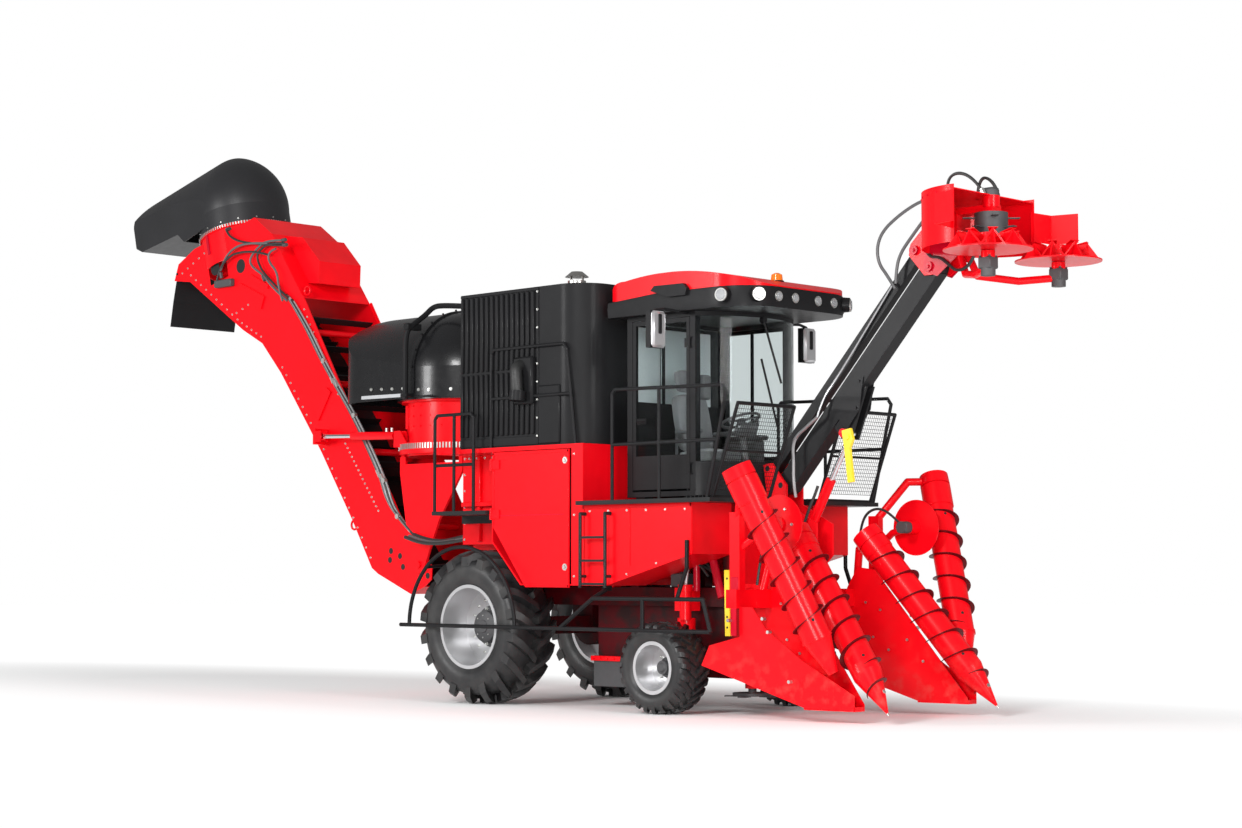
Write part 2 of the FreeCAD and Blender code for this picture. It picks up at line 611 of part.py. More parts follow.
def cab_deck():
    """Tread-plate deck round the cab, open in the middle of its front edge for the topper boom."""
    outer = box(TANK_X0, DECK_X1, -DECK_Y, DECK_Y, DECK_Z - DECK_T, DECK_Z)
    slot = box(FRAME_X1 + 5, DECK_X1 + 1, -BOOM_SLOT_Y, BOOM_SLOT_Y, DECK_Z - DECK_T - 1, DECK_Z + 1)
    post = box(FRAME_X1 - 31, FRAME_X1 + 21, -TOWER_Y - 1, TOWER_Y + 1, DECK_Z - DECK_T - 1, DECK_Z + 1)
    mounts = [
        box(x, x + 120, y, y + 120, DECK_Z - 5, CAB_Z0)
        for x in (CAB_X0 + 60, CAB_X1 - 200)
        for y in (-CAB_Y + 60, CAB_Y - 180)
    ]
    return fuse([outer.cut(slot).cut(post)] + mounts)


def ladder(side):
    """Boarding ladder on the tank side, with bent top ends and three rungs."""
    y = side * (BODY_Y + 75)
    parts = []
    for x in (TANK_X0 + 40, TANK_X0 + 380):
        parts.append(tube_run([(x, y, 1190), (x, y, 1905), (x, side * BODY_Y, 1905)], RAIL_R))
        parts.append(rod((x, y, 1300), (x, side * BODY_Y, 1300), RAIL_R - 3))
    for z in (1215.0, 1440.0, 1665.0):
        parts.append(box(TANK_X0 + 40, TANK_X0 + 380, *sorted((y - 22, y + 22)), z, z + 22))
    return fuse(parts)


def rear_deck(side):
    """Service platform behind the engine bay on one side."""
    x0 = BODY_X0 + 40
    x1 = BAY_X0 - PLATE - 10
    y0, y1 = sorted((side * REAR_SHELL_Y, side * (DECK_Y - 30)))
    ya, yb = sorted((side * REAR_SHELL_Y, side * (REAR_SHELL_Y + 50)))
    return fuse([
        box(x0, x1, y0, y1, REAR_DECK_Z - DECK_T, REAR_DECK_Z),
        box(x0, x1, ya, yb, REAR_DECK_Z - 120, REAR_DECK_Z - DECK_T + 1),
    ])


nodes["platform_decks"] = Part.makeCompound(
    [cab_deck()] + [rear_deck(side) for name, side in SIDES] + [ladder(side) for name, side in SIDES]
)


def standing(shape, floor):
    """The part of a rail above the deck that it is welded to."""
    bounds = shape.BoundBox
    block = box(bounds.XMin - 1, bounds.XMax + 1, bounds.YMin - 1, bounds.YMax + 1, floor, bounds.ZMax + 1)
    return shape.common(block)


def side_rail(side):
    """Handrail loop along the cab deck, its front leg raked back to the deck."""
    y = side * RAIL_Y
    slope = (3545 - 3310) / (RAIL_TOP_Z - 90 - DECK_Z)
    loop = tube_run([
        (2080, y, DECK_Z - 30), (2080, y, RAIL_TOP_Z - 40), (2120, y, RAIL_TOP_Z),
        (3500, y, RAIL_TOP_Z - 30), (3545, y, RAIL_TOP_Z - 90), (3310 - slope * 30, y, DECK_Z - 30),
    ], RAIL_R)
    mid = rod((2080, y, RAIL_MID_Z), (3310 + slope * (RAIL_MID_Z - DECK_Z), y, RAIL_MID_Z), RAIL_R)
    post = rod((2700, y, DECK_Z), (2700, y, RAIL_TOP_Z - 15), RAIL_R)
    return standing(fuse([loop, mid, post]), DECK_Z)


def front_rail(side):
    """Raked guard frame in front of the cab, on one side of the topper boom."""
    low_x = DECK_X1 - 40
    high_x = low_x + 320
    y0 = side * (RAIL_Y - 60)
    y1 = side * (BOOM_SLOT_Y + 30)
    top = 2890.0
    lean = (high_x - low_x) / (top - DECK_Z) * 30
    frame = tube_run([(low_x - lean, y0, DECK_Z - 30), (high_x, y0, top), (high_x, y1, top),
                      (low_x - lean, y1, DECK_Z - 30)], RAIL_R)
    mid_x = (low_x + high_x) / 2
    mid_z = (DECK_Z + top) / 2
    mid = rod((mid_x, y0, mid_z), (mid_x, y1, mid_z), 12)
    return standing(fuse([frame, mid]), DECK_Z)


def rear_rail(side):
    """Handrail of the rear service platform."""
    y = side * (DECK_Y - 52)
    x0, x1 = -540.0, 60.0
    top = 2960.0
    loop = tube_run([(x0, y, REAR_DECK_Z), (x0, y, top - 40), (x0 + 40, y, top), (x1 - 40, y, top),
                     (x1, y, top - 40), (x1, y, REAR_DECK_Z)], RAIL_R)
    mid = rod((x0, y, 2440), (x1, y, 2440), RAIL_R)
    post = rod(((x0 + x1) / 2, y, REAR_DECK_Z), ((x0 + x1) / 2, y, top), RAIL_R)
    return fuse([loop, mid, post])


def engine_rail(side):
    """Low rail outside the engine cover, on the engine deck."""
    y = side * (BODY_Y - 30)
    floor = UPPER_Z0 + 30
    loop = tube_run([(240, y, floor), (240, y, 3560), (280, y, 3600), (1300, y, 3600), (1345, y, 3545),
                     (1474, y, floor - 30)], RAIL_R)
    mid = rod((240, y, 3100), (1470 - (1470 - 1345) * 0.53, y, 3100), RAIL_R)
    return standing(fuse([loop, mid]), floor)


nodes["platform_rails"] = Part.makeCompound(
    [rail(side) for rail in (side_rail, front_rail, rear_rail, engine_rail) for name, side in SIDES]
)


# ---------------------------------------------------------------- cab
PILLAR = 70.0
GLASS_T = 6.0
FLOOR_T = 50.0
DOOR_Z0 = CAB_Z0 + FLOOR_T + 20
DOOR_Z1 = CAB_Z1 - 60
DOOR_FRAME = 42.0
DOOR_SIDE = -1           # the driver's door is on the right
CLEAR = 6.0


def bowed_front(inset, z0, z1):
    """Cab floor outline with its bowed front, as a block between two heights."""
    x0 = CAB_X0 + inset
    x1 = CAB_X1
    y = CAB_Y - inset
    nose = V(CAB_X1 + CAB_BULGE - inset, 0, z0)
    wire = Part.Wire([
        Part.makeLine(V(x1, -y, z0), V(x0, -y, z0)),
        Part.makeLine(V(x0, -y, z0), V(x0, y, z0)),
        Part.makeLine(V(x0, y, z0), V(x1, y, z0)),
        Part.Arc(V(x1, y, z0), nose, V(x1, -y, z0)).toShape(),
    ])
    return Part.Face(wire).extrude(Z_AXIS * (z1 - z0))


def cab_frame():
    """Floor pan, four pillars, roof beam ring and the panels below the glass."""
    pan = bowed_front(0, CAB_Z0, CAB_Z0 + FLOOR_T)
    head = bowed_front(0, CAB_Z1 - 60, CAB_Z1).cut(bowed_front(PILLAR, CAB_Z1 - 61, CAB_Z1 + 1))
    parts = [pan, head]
    for side in (-1, 1):
        y0, y1 = sorted((side * (CAB_Y - PILLAR), side * CAB_Y))
        parts.append(box(CAB_X0, CAB_X0 + PILLAR, y0, y1, CAB_Z0 + 10, CAB_Z1 - 10))
        parts.append(box(CAB_X1 - PILLAR, CAB_X1, y0, y1, CAB_Z0 + 10, CAB_Z1 - 10))
    back = box(CAB_X0, CAB_X0 + 20, -CAB_Y + 10, CAB_Y - 10, CAB_Z0 + 10, CAB_Z0 + 950)
    parts.append(back)
    sill = bowed_front(0, CAB_Z0 + 10, CAB_Z0 + 330).cut(bowed_front(25, CAB_Z0, CAB_Z0 + 340))
    front_only = box(CAB_X1 - 5, CAB_X1 + CAB_BULGE + 5, -CAB_Y, CAB_Y, CAB_Z0, CAB_Z0 + 340)
    parts.append(sill.common(front_only))
    y0, y1 = sorted((-DOOR_SIDE * (CAB_Y - 25), -DOOR_SIDE * CAB_Y))
    parts.append(box(CAB_X0 + 10, CAB_X1 - 10, y0, y1, CAB_Z0 + 10, CAB_Z0 + 430))
    return fuse(parts)


def cab_roof():
    """Domed roof shell with its light visor, wider than the cab, closed and hollow."""
    def dome(inset):
        x0, x1 = ROOF_X0 + inset, ROOF_X1 - inset
        y = ROOF_Y - inset
        rear_x = x0 - 5
        front_x = x1 + 5
        low = CAB_Z1 + inset
        crown = ROOF_Z1 - inset
        side_view = Part.Wire([
            Part.makeLine(V(rear_x, 0, low), V(rear_x, 0, crown - 190)),
            Part.Arc(
                V(rear_x, 0, crown - 190), V(x0 + 85, 0, crown - 85), V(x0 + 260, 0, crown - 40),
            ).toShape(),
            Part.Arc(
                V(x0 + 260, 0, crown - 40), V((x0 + x1) / 2, 0, crown), V(x1 - 170, 0, crown - 110),
            ).toShape(),
            Part.makeLine(V(x1 - 170, 0, crown - 110), V(front_x, 0, crown - 180)),
            Part.makeLine(V(front_x, 0, crown - 180), V(front_x, 0, low)),
            Part.makeLine(V(front_x, 0, low), V(rear_x, 0, low)),
        ])
        body = Part.Face(side_view).extrude(Y_AXIS * (2 * y + 20))
        body.translate(V(0, -y - 10, 0))
        plan = box(x0, x1, -y, y, CAB_Z1 - 1, ROOF_Z1 + 1)
        upright = [e for e in plan.Edges if abs(e.tangentAt(e.FirstParameter).z) > 0.9]
        rear = [e for e in upright if e.CenterOfMass.x < x0 + 1]
        front = [e for e in upright if e.CenterOfMass.x > x1 - 1]
        plan = plan.makeFillet(160 - inset, rear)
        front = [
            e for e in plan.Edges
            if e.CenterOfMass.x > x1 - 1 and abs(e.tangentAt(e.FirstParameter).z) > 0.9
        ]
        plan = plan.makeFillet(430 - inset, front)
        return body.common(plan)
    return dome(0).cut(dome(30))


def cab_windscreen():
    """Bowed windscreen between the front pillars, from the sill to the head beam."""
    outer = bowed_front(2, CAB_Z0 + 330, CAB_Z1 - 60)
    sheet = outer.cut(bowed_front(2 + GLASS_T, CAB_Z0 + 329, CAB_Z1 - 59))
    return sheet.common(box(CAB_X1 + 0.2, CAB_X1 + CAB_BULGE + 5, -CAB_Y, CAB_Y, CAB_Z0, CAB_Z1))


def cab_glass():
    """Windscreen, fixed side window and rear window, set in the frame."""
    y0, y1 = sorted((-DOOR_SIDE * (CAB_Y - 20), -DOOR_SIDE * (CAB_Y - 20 + GLASS_T)))
    side_window = box(CAB_X0 + PILLAR, CAB_X1 - PILLAR, y0, y1, CAB_Z0 + 430, CAB_Z1 - 60)
    rear_window = box(
        CAB_X0 + 6, CAB_X0 + 6 + GLASS_T, -CAB_Y + PILLAR, CAB_Y - PILLAR, CAB_Z0 + 950, CAB_Z1 - 60
    )
    return Part.makeCompound([cab_windscreen(), side_window, rear_window])


CAB_HINGE_X = CAB_X1 - PILLAR     # the door is hung on the front pillar and opens towards the ladder
CAB_HINGE_Y = DOOR_SIDE * (CAB_Y + HINGE_R)
CAB_HINGE_Z = (DOOR_Z0 + 150.0, DOOR_Z1 - 300.0)
door_x0 = CAB_X0 + PILLAR + CLEAR
door_x1 = CAB_X1 - PILLAR - CLEAR
door_y0, door_y1 = sorted((DOOR_SIDE * (CAB_Y - 34), DOOR_SIDE * CAB_Y))


def cab_door():
    """Door frame with one window opening and a solid lower panel, hinged on the front pillar."""
    leaf = box(door_x0, door_x1, door_y0, door_y1, DOOR_Z0, DOOR_Z1 - CLEAR)
    window = box(
        door_x0 + DOOR_FRAME, door_x1 - DOOR_FRAME, door_y0 - 1, door_y1 + 1,
        DOOR_Z0 + 330, DOOR_Z1 - CLEAR - DOOR_FRAME,
    )
    hinges = [hinge_leaf(CAB_HINGE_X, CAB_HINGE_Y, z, DOOR_SIDE * CAB_Y, -60) for z in CAB_HINGE_Z]
    return fuse([leaf.cut(window)] + hinges)


def cab_door_glass():
    """Pane in the door frame."""
    middle = (door_y0 + door_y1) / 2
    return box(
        door_x0 + DOOR_FRAME, door_x1 - DOOR_FRAME, middle - GLASS_T / 2, middle + GLASS_T / 2,
        DOOR_Z0 + 330, DOOR_Z1 - CLEAR - DOOR_FRAME,
    )


def cab_interior():
    """Driver's seat on its base, and the steering column and side console on the floor."""
    floor = CAB_Z0 + FLOOR_T
    seat = fuse([
        box(2080, 2380, -170, 170, floor, floor + 300),
        box(2000, 2480, -250, 250, floor + 290, floor + 430),
        bar((2070, 0, floor + 400), (1930, 0, floor + 1080), 470, 120),
    ])
    column = fuse([
        box(2700, 2800, -70, 70, floor, floor + 120),
        rod((2750, 0, floor + 100), (2640, 0, floor + 700), 32),
        Part.makeTorus(190, 14, V(2640, 0, floor + 705), V(-0.35, 0, 1)),
        rod((2640 - 190, 0, floor + 640), (2640 + 190, 0, floor + 768), 11),
    ])
    console = fuse([
        box(2050, 2560, 330, 480, floor, floor + 560),
        box(2300, 2600, 320, 490, floor + 550, floor + 620),
    ])
    return Part.makeCompound([seat, column, console])


def mirrors():
    """Two rear-view mirrors on arms from the roof's front corners."""
    parts = []
    for side in (-1, 1):
        y = side * 1120
        arm = tube_run([(2600, side * (CAB_Y - 30), CAB_Z1 - 30), (2560, side * 1000, CAB_Z1 - 10),
                        (2545, y, CAB_Z1 - 30), (2545, y, CAB_Z1 - 380)], 14)
        glass = box(2515, 2575, *sorted((y - side * 95, y + side * 95)), CAB_Z1 - 390, CAB_Z1 - 40)
        parts.append(fuse([arm, glass]))
    return parts


cab_hinge_posts = [hinge_post(CAB_HINGE_X, CAB_HINGE_Y, z, DOOR_SIDE * (CAB_Y - 10), 30) for z in CAB_HINGE_Z]
nodes["cab_frame"] = fuse([cab_frame()] + mirrors() + cab_hinge_posts)
nodes["cab_roof"] = cab_roof()
nodes["cab_glass"] = cab_glass()
nodes["cab_door"] = cab_door()
nodes["cab_door_glass"] = cab_door_glass()
nodes["cab_interior"] = cab_interior()


# ---------------------------------------------------------------- main extractor
GROOVE_R = CHAMBER_R + 24.0
FAN_Z = 3030.0
FAN_SHAFT_R = 45.0
CHAMBER_Z1 = 3200.0


def fan(x, y, z, radius, shaft_r):
    """Hub with four pitched blades, bored for its shaft."""
    hub = cyl(x, y, z - 60, 150, 120)
    blade = box(x + 130, x + radius, y - 95, y + 95, z - 6, z + 6)
    blade.rotate(V(x, y, z), X_AXIS, 28)
    blades = [turned(blade, (x, y, z), Z_AXIS, 90 * step) for step in range(4)]
    whole_fan = fuse([hub] + blades)
    return whole_fan.cut(cyl(x, y, z - 70, shaft_r + PIN_GAP, 110))


def extractor_chamber():
    """Round fan housing that the turntable turns about, carried from the engine cover."""
    wall = cyl(SLEW_X, 0, RING_Z0 - 20, CHAMBER_R, CHAMBER_Z1 - RING_Z0 + 20)
    flange = cyl(SLEW_X, 0, RING_Z0 + 50 + RUN_GAP, GROOVE_R - SLEW_GAP, 20 - 2 * RUN_GAP)
    top = cyl(SLEW_X, 0, CHAMBER_Z1 - 20, HOOD_Y - 50, 20)
    brackets = [
        box(SLEW_X + CHAMBER_R - 60, ENCLOSURE_X0, y, y + 110, 2960, 3120) for y in (-420, -55, 310)
    ]
    shell = fuse([wall, flange, top] + brackets)
    shell = shell.cut(cyl(SLEW_X, 0, RING_Z0 - 30, CHAMBER_R - PLATE, 700))
    beam = box(SLEW_X - CHAMBER_R + 6, SLEW_X + CHAMBER_R - 6, -60, 60, 2820, 2900)
    shaft = cyl(SLEW_X, 0, 2890, FAN_SHAFT_R, FAN_Z - 2890 + 30)
    return fuse([shell, beam, shaft])


def domed(radius, z0, z_side, z1, length):
    """Half dome in front of the origin, with the same arch carried back as a vault."""
    knee_y = radius * 0.7071
    knee_z = z_side + (z1 - z_side) * 0.7071
    half = Part.Face(Part.Wire([
        Part.makeLine(V(0, -radius, z0), V(0, -radius, z_side)),
        Part.Arc(V(0, -radius, z_side), V(0, -knee_y, knee_z), V(0, 0, z1)).toShape(),
        Part.makeLine(V(0, 0, z1), V(0, 0, z0)),
        Part.makeLine(V(0, 0, z0), V(0, -radius, z0)),
    ]))
    dome = half.revolve(V(0, 0, 0), Z_AXIS, 180)
    arch = Part.Face(Part.Wire([
        Part.makeLine(V(0, -radius, z0), V(0, -radius, z_side)),
        Part.Arc(V(0, -radius, z_side), V(0, -knee_y, knee_z), V(0, 0, z1)).toShape(),
        Part.Arc(V(0, 0, z1), V(0, knee_y, knee_z), V(0, radius, z_side)).toShape(),
        Part.makeLine(V(0, radius, z_side), V(0, radius, z0)),
        Part.makeLine(V(0, radius, z0), V(0, -radius, z0)),
    ]))
    return dome, arch.extrude(X_AXIS * -length)


def hood_plan(inset, z0, z1, radius, x_end, end_y, corner):
    """Rear of a hood seen from above: a slight taper back to an end with rounded corners."""
    r = radius - inset + 5
    x1 = x_end + inset
    wire = Part.Wire([
        Part.makeLine(V(1, -r, z0), V(1, r, z0)),
        Part.makeLine(V(1, r, z0), V(x1, end_y - inset, z0)),
        Part.makeLine(V(x1, end_y - inset, z0), V(x1, -end_y + inset, z0)),
        Part.makeLine(V(x1, -end_y + inset, z0), V(1, -r, z0)),
    ])
    block = Part.Face(wire).extrude(Z_AXIS * (z1 - z0))
    ends = [
        e for e in block.Edges
        if abs(e.tangentAt(e.FirstParameter).z) > 0.9 and e.CenterOfMass.x < x1 + 1
    ]
    return block.makeFillet(corner - inset, ends)


def main_hood():
    """Domed hood over the fan, open underneath behind the chamber, on its own turning ring."""
    def block(inset):
        x0 = HOOD_X0 - SLEW_X + inset
        z0 = HOOD_Z0 - (inset and 1)
        z1 = HOOD_Z1 - inset
        heel_x = x0 + HOOD_HEEL
        dome, vault = domed(HOOD_Y - inset, z0, HOOD_Z1 - HOOD_RISE, z1, -x0 + 20)
        outline = Part.Wire([
            Part.makeLine(V(heel_x, 0, z0), V(2, 0, z0)),
            Part.makeLine(V(2, 0, z0), V(2, 0, z1 + 2)),
            Part.makeLine(V(2, 0, z1 + 2), V(x0 + 520, 0, z1 + 2)),
            Part.Arc(V(x0 + 520, 0, z1 + 2), V(x0 + 140, 0, z1 - 170), V(x0, 0, z1 - 530)).toShape(),
            Part.makeLine(V(x0, 0, z1 - 530), V(x0, 0, z1 - 610)),
            Part.makeLine(V(x0, 0, z1 - 610), V(heel_x, 0, z0)),
        ])
        side_view = Part.Face(outline).extrude(Y_AXIS * (2 * HOOD_Y + 20))
        side_view.translate(V(0, -HOOD_Y - 10, 0))
        plan = hood_plan(inset, z0 - 1, z1 + 5, HOOD_Y, HOOD_X0 - SLEW_X - 7, HOOD_Y - 60, 420)
        return dome.fuse(vault.common(side_view).common(plan))
    shell = block(0).cut(block(HOOD_T))
    collar = cyl(0, 0, CHAMBER_Z1 + RUN_GAP, HOOD_Y - 4, HOOD_Z0 + 12 - CHAMBER_Z1 - RUN_GAP)
    collar = collar.cut(cyl(0, 0, CHAMBER_Z1 - 1, CHAMBER_R - 40, 60))
    shell = fuse([shell, collar])
    shell.translate(V(SLEW_X, 0, 0))
    return shell


nodes["extractor_chamber"] = extractor_chamber()
nodes["main_fan"] = fan(SLEW_X, 0, FAN_Z, CHAMBER_R - PLATE - 30, FAN_SHAFT_R)
nodes["main_hood"] = main_hood()


# ---------------------------------------------------------------- elevator and its turntable
ARM_Y0 = ELEV_Y + 8.0
ARM_Y1 = ARM_Y0 + 30.0
ELEV_PIN_R = 40.0
STRUT_Y = CHAMBER_R - 40.0       # lift cylinders, one each side
STRUT_BASE = (-1760.0, 2830.0)
STRUT_EYE = (-3120.0, 2876.0)
STRUT_R = 45.0
STRUT_ROD_R = 25.0
EYE_W = 50.0
EYE_R = 42.0
STRUT_PIN_R = 20.0

# side plate outline, from the heel up the underside to the head and back down the top edge
ELEV_UNDER = [
    (-1500, 1180), (-1730, 1100), (-2290, 1320), (-2400, 1385), (-2750, 1925), (-3310, 2700), (-3550, 3000),
    (-4090, 3665), (-4460, 4040), (-4840, 4225), (-5940, 4900), (-6270, 4940),
]
ELEV_OVER = [
    (-6190, 5140), (-5860, 5300), (-4640, 5560), (-4300, 5330), (-3690, 4530), (-2990, 3460), (-2770, 3140),
    (-2180, 2360), (-1920, 1967), (-1580, 1635), (-1380, 1400), (-1390, 1260),
]
FLOOR_PATH = [
    (-1600, 1215), (-1750, 1190), (-2260, 1400), (-2500, 1690), (-3420, 3010), (-4150, 3900), (-4560, 4290),
    (-4900, 4450),
]


def turntable():
    """Slewing ring under the fan housing, with two hangers down to the elevator's pivot."""
    outer = cyl(SLEW_X, 0, RING_Z0, RING_R, RING_Z1 - RING_Z0)
    bore = cyl(SLEW_X, 0, RING_Z0 - 1, CHAMBER_R + SLEW_GAP, RING_Z1 - RING_Z0 + 2)
    groove = cyl(SLEW_X, 0, RING_Z0 + 50, GROOVE_R, 20)
    slew_ring = outer.cut(bore).cut(groove)
    parts = [slew_ring]
    px, pz = ELEV_PIVOT
    arm_y = (ARM_Y0 + ARM_Y1) / 2
    rear = SLEW_X - math.sqrt((CHAMBER_R + 33) ** 2 - arm_y ** 2)
    front = SLEW_X + math.sqrt((CHAMBER_R + 21) ** 2 - arm_y ** 2)
    hanger = [
        (rear - 45, 2600), (rear + 45, 2600), (rear + 45, 2520), (front - 27, 2520),
        (front - 27, 2600), (front + 28, 2600), (front + 28, 2420), (SLEW_X + 120, 1900),
        (px + 95, pz - 20), (px + 50, pz - 90), (px - 50, pz - 90), (px - 95, pz - 20), (SLEW_X - 430, 1900),
        (rear - 45, 2420),
    ]
    for side in (-1, 1):
        y0, y1 = sorted((side * ARM_Y0, side * ARM_Y1))
        parts.append(side_plate(hanger, y0, y1))
        for x in (rear, front):
            parts.append(box(x - 27, x + 27, y0, y1, 2590, RING_Z0 + 10))
        bx, bz = STRUT_BASE
        for y in (STRUT_Y - EYE_W / 2 - 20, STRUT_Y + EYE_W / 2 + 5):
            ya, yb = sorted((side * y, side * (y + 15)))
            lug = [(bx - 50, bz + 50), (bx + 50, bz + 50), (bx + 170, RING_Z1 - 20), (bx - 60, RING_Z1 - 20)]
            parts.append(side_plate(lug, ya, yb))
        ya, yb = sorted((side * (STRUT_Y - EYE_W / 2 - 20), side * (STRUT_Y + EYE_W / 2 + 20)))
        pad = box(bx - 60, bx + 230, ya, yb, RING_Z1 - 40, RING_Z1)
        parts.append(pad.cut(cyl(SLEW_X, 0, RING_Z0 - 1, CHAMBER_R + 5, 300)))
        parts.append(cyl_y(bx, bz, ya, yb, STRUT_PIN_R))
    table = fuse(parts).cut(cyl_y(px, pz, -ARM_Y1 - 1, ARM_Y1 + 1, ELEV_PIN_R + PIN_GAP))
    table = table.cut(cyl(SLEW_X, 0, RING_Z0 - 60, CHAMBER_R + 8, 60))
    table = table.cut(cyl(SLEW_X, 0, RING_Z1, CHAMBER_R + 8, 200))
    return table.cut(cyl(SLEW_X, 0, RING_Z0 - 1, CHAMBER_R + SLEW_GAP, RING_Z1 - RING_Z0 + 2))


def sec_place(shape):
    """Puts a shape drawn about an upright axis at the tilted axis of the secondary extractor."""
    copy = shape.copy()
    copy.rotate(V(0, 0, 0), Y_AXIS, -SEC_TILT)
    copy.translate(V(SEC_X, 0, SEC_Z))
    return copy


def elevator_frame():
    """Two bent side plates, their cross tubes and covers, and the red barrel of the secondary fan."""
    parts = []
    outline = ELEV_UNDER + ELEV_OVER
    for side in (-1, 1):
        y0, y1 = sorted((side * (ELEV_Y - PLATE), side * ELEV_Y))
        parts.append(side_plate(outline, y0, y1))
        px, pz = ELEV_PIVOT
        y0, y1 = sorted((side * (ELEV_Y - PLATE), side * (ARM_Y1 + 20)))
        parts.append(cyl_y(px, pz, y0, y1, ELEV_PIN_R))
        ex, ez = STRUT_EYE
        for y in (STRUT_Y - EYE_W / 2 - 30, STRUT_Y + EYE_W / 2 + 15):
            ya, yb = sorted((side * y, side * (y + 15)))
            ear = [(ex - 70, ez + 60), (ex + 30, ez + 60), (ex + 30, ez - 60), (ex - 70, ez - 60)]
            parts.append(side_plate(ear, ya, yb))
        ya, yb = sorted((side * (ELEV_Y - 2), side * (STRUT_Y + EYE_W / 2 + 30)))
        parts.append(box(ex - 110, ex - 68, ya, yb, ez - 90, ez + 90))
    inner = ELEV_Y - PLATE + 2
    for x, z in ((-2100, 1850), (-2720, 2700), (-3260, 3500), (-3700, 4130), (-4420, 4900)):
        parts.append(cyl_y(x, z, -inner, inner, 38))
    heel = strip([(-1500, 1192), (-1730, 1112), (-2290, 1332), (-2400, 1397)], -inner, inner, PLATE)
    parts.append(heel)
    top_line = [(-6180, 5150), (-5860, 5300), (-4640, 5560), (-4300, 5330), (-3690, 4530)]
    head = strip(top_line, -inner, inner, PLATE)
    parts.append(head)
    motor_box = side_plate(
        [(-4290, 5320), (-3950, 5270), (-3630, 4960), (-3640, 4700), (-3830, 4720), (-4200, 5180)], -310, 310
    )
    parts.append(motor_box)
    parts.append(sec_place(cyl(0, 0, -430, SEC_R - 20, 430)))
    parts.append(sec_place(cyl(0, 0, -40, SEC_R, 40)))
    frame = fuse(parts)
    frame = frame.cut(sec_place(cyl(0, 0, -640, SEC_R - 20 - PLATE, 700)))
    beam = sec_place(box(-SEC_R + 25, SEC_R - 25, -45, 45, -330, -270))
    shaft = sec_place(cyl(0, 0, -280, FAN_SHAFT_R, 160))
    frame = fuse([frame, beam, shaft])
    fx, fz = FLAP_HINGE
    return frame.cut(cyl_y(fx, fz, -ELEV_Y - 1, ELEV_Y + 1, FLAP_PIN_R + PIN_GAP))


FLAP_HINGE = (-6210.0, 5020.0)
FLAP_PIN_R = 15.0


def bin_flap():
    """Deflector plate hanging across the discharge mouth on a hinge tube."""
    fx, fz = FLAP_HINGE
    inner = ELEV_Y - PLATE - 6
    pin = cyl_y(fx, fz, -ELEV_Y - 8, ELEV_Y + 8, FLAP_PIN_R)
    tube = cyl_y(fx, fz, -inner, inner, 24)
    plate = side_plate(
        [(fx - 24, fz), (fx - 14, fz), (fx - 95, fz - 330), (fx - 155, fz - 640), (fx - 165, fz - 640),
         (fx - 106, fz - 330)], -inner, inner
    )
    return fuse([pin, tube, plate])


def path_point(path, distance):
    """Point and direction at a distance along a bent line of XZ points."""
    for (x0, z0), (x1, z1) in zip(path, path[1:]):
        length = math.hypot(x1 - x0, z1 - z0)
        if distance <= length:
            t = distance / length
            return x0 + t * (x1 - x0), z0 + t * (z1 - z0), (x1 - x0) / length, (z1 - z0) / length
        distance -= length
    return None


SLAT_PITCH = 420.0
SLAT_H = 95.0


def elevator_conveyor():
    """Floor of the elevator with the slats that drag the cane up it, and the return slats above."""
    inner = ELEV_Y - PLATE
    parts = [strip(FLOOR_PATH, -inner, inner, 8)]
    distance = 260.0
    while path_point(FLOOR_PATH, distance):
        x, z, dx, dz = path_point(FLOOR_PATH, distance)
        base = (x, 0, z - 4)
        tip = (x + dz * SLAT_H, 0, z - 4 - dx * SLAT_H)
        parts.append(bar(base, tip, 2 * inner - 60, 10))
        distance += SLAT_PITCH
    solids = [fuse(parts)]
    top_run = [(-2330, 2480), (-3020, 3400), (-3760, 4520)]
    distance = 120.0
    while path_point(top_run, distance):
        x, z, dx, dz = path_point(top_run, distance)
        tip = (x - dz * SLAT_H, 0, z + dx * SLAT_H)
        solids.append(bar((x, 0, z), tip, 2 * inner, 10))
        distance += SLAT_PITCH
    return Part.makeCompound(solids)


def lift_cylinder(base, eye, y, barrel_r, rod_r, pin_r, eye_r, eye_w, barrel_len, rod_start):
    """Barrel with its foot eye, and rod with its end eye, for a cylinder lying in an XZ plane."""
    bx, bz = base
    ex, ez = eye
    length = math.hypot(ex - bx, ez - bz)
    ux, uz = (ex - bx) / length, (ez - bz) / length

    def at(distance):
        return (bx + ux * distance, y, bz + uz * distance)
    foot = cyl_y(bx, bz, y - eye_w / 2, y + eye_w / 2, eye_r)
    neck = rod(at(eye_r - 20), at(eye_r + 60), eye_w / 2 - 2)
    barrel = fuse([foot, neck, rod(at(eye_r + 45), at(barrel_len), barrel_r)])
    barrel = barrel.cut(cyl_y(bx, bz, y - eye_w, y + eye_w, pin_r + PIN_GAP))
    barrel = barrel.cut(rod(at(eye_r + 90), at(barrel_len + 5), rod_r + PIN_GAP))
    end = cyl_y(ex, ez, y - eye_w / 2, y + eye_w / 2, eye_r)
    end = end.cut(cyl_y(ex, ez, y - eye_w, y + eye_w, pin_r))
    bar_part = rod(at(rod_start), at(length - eye_r + 8), rod_r)
    return barrel, fuse([end, bar_part])


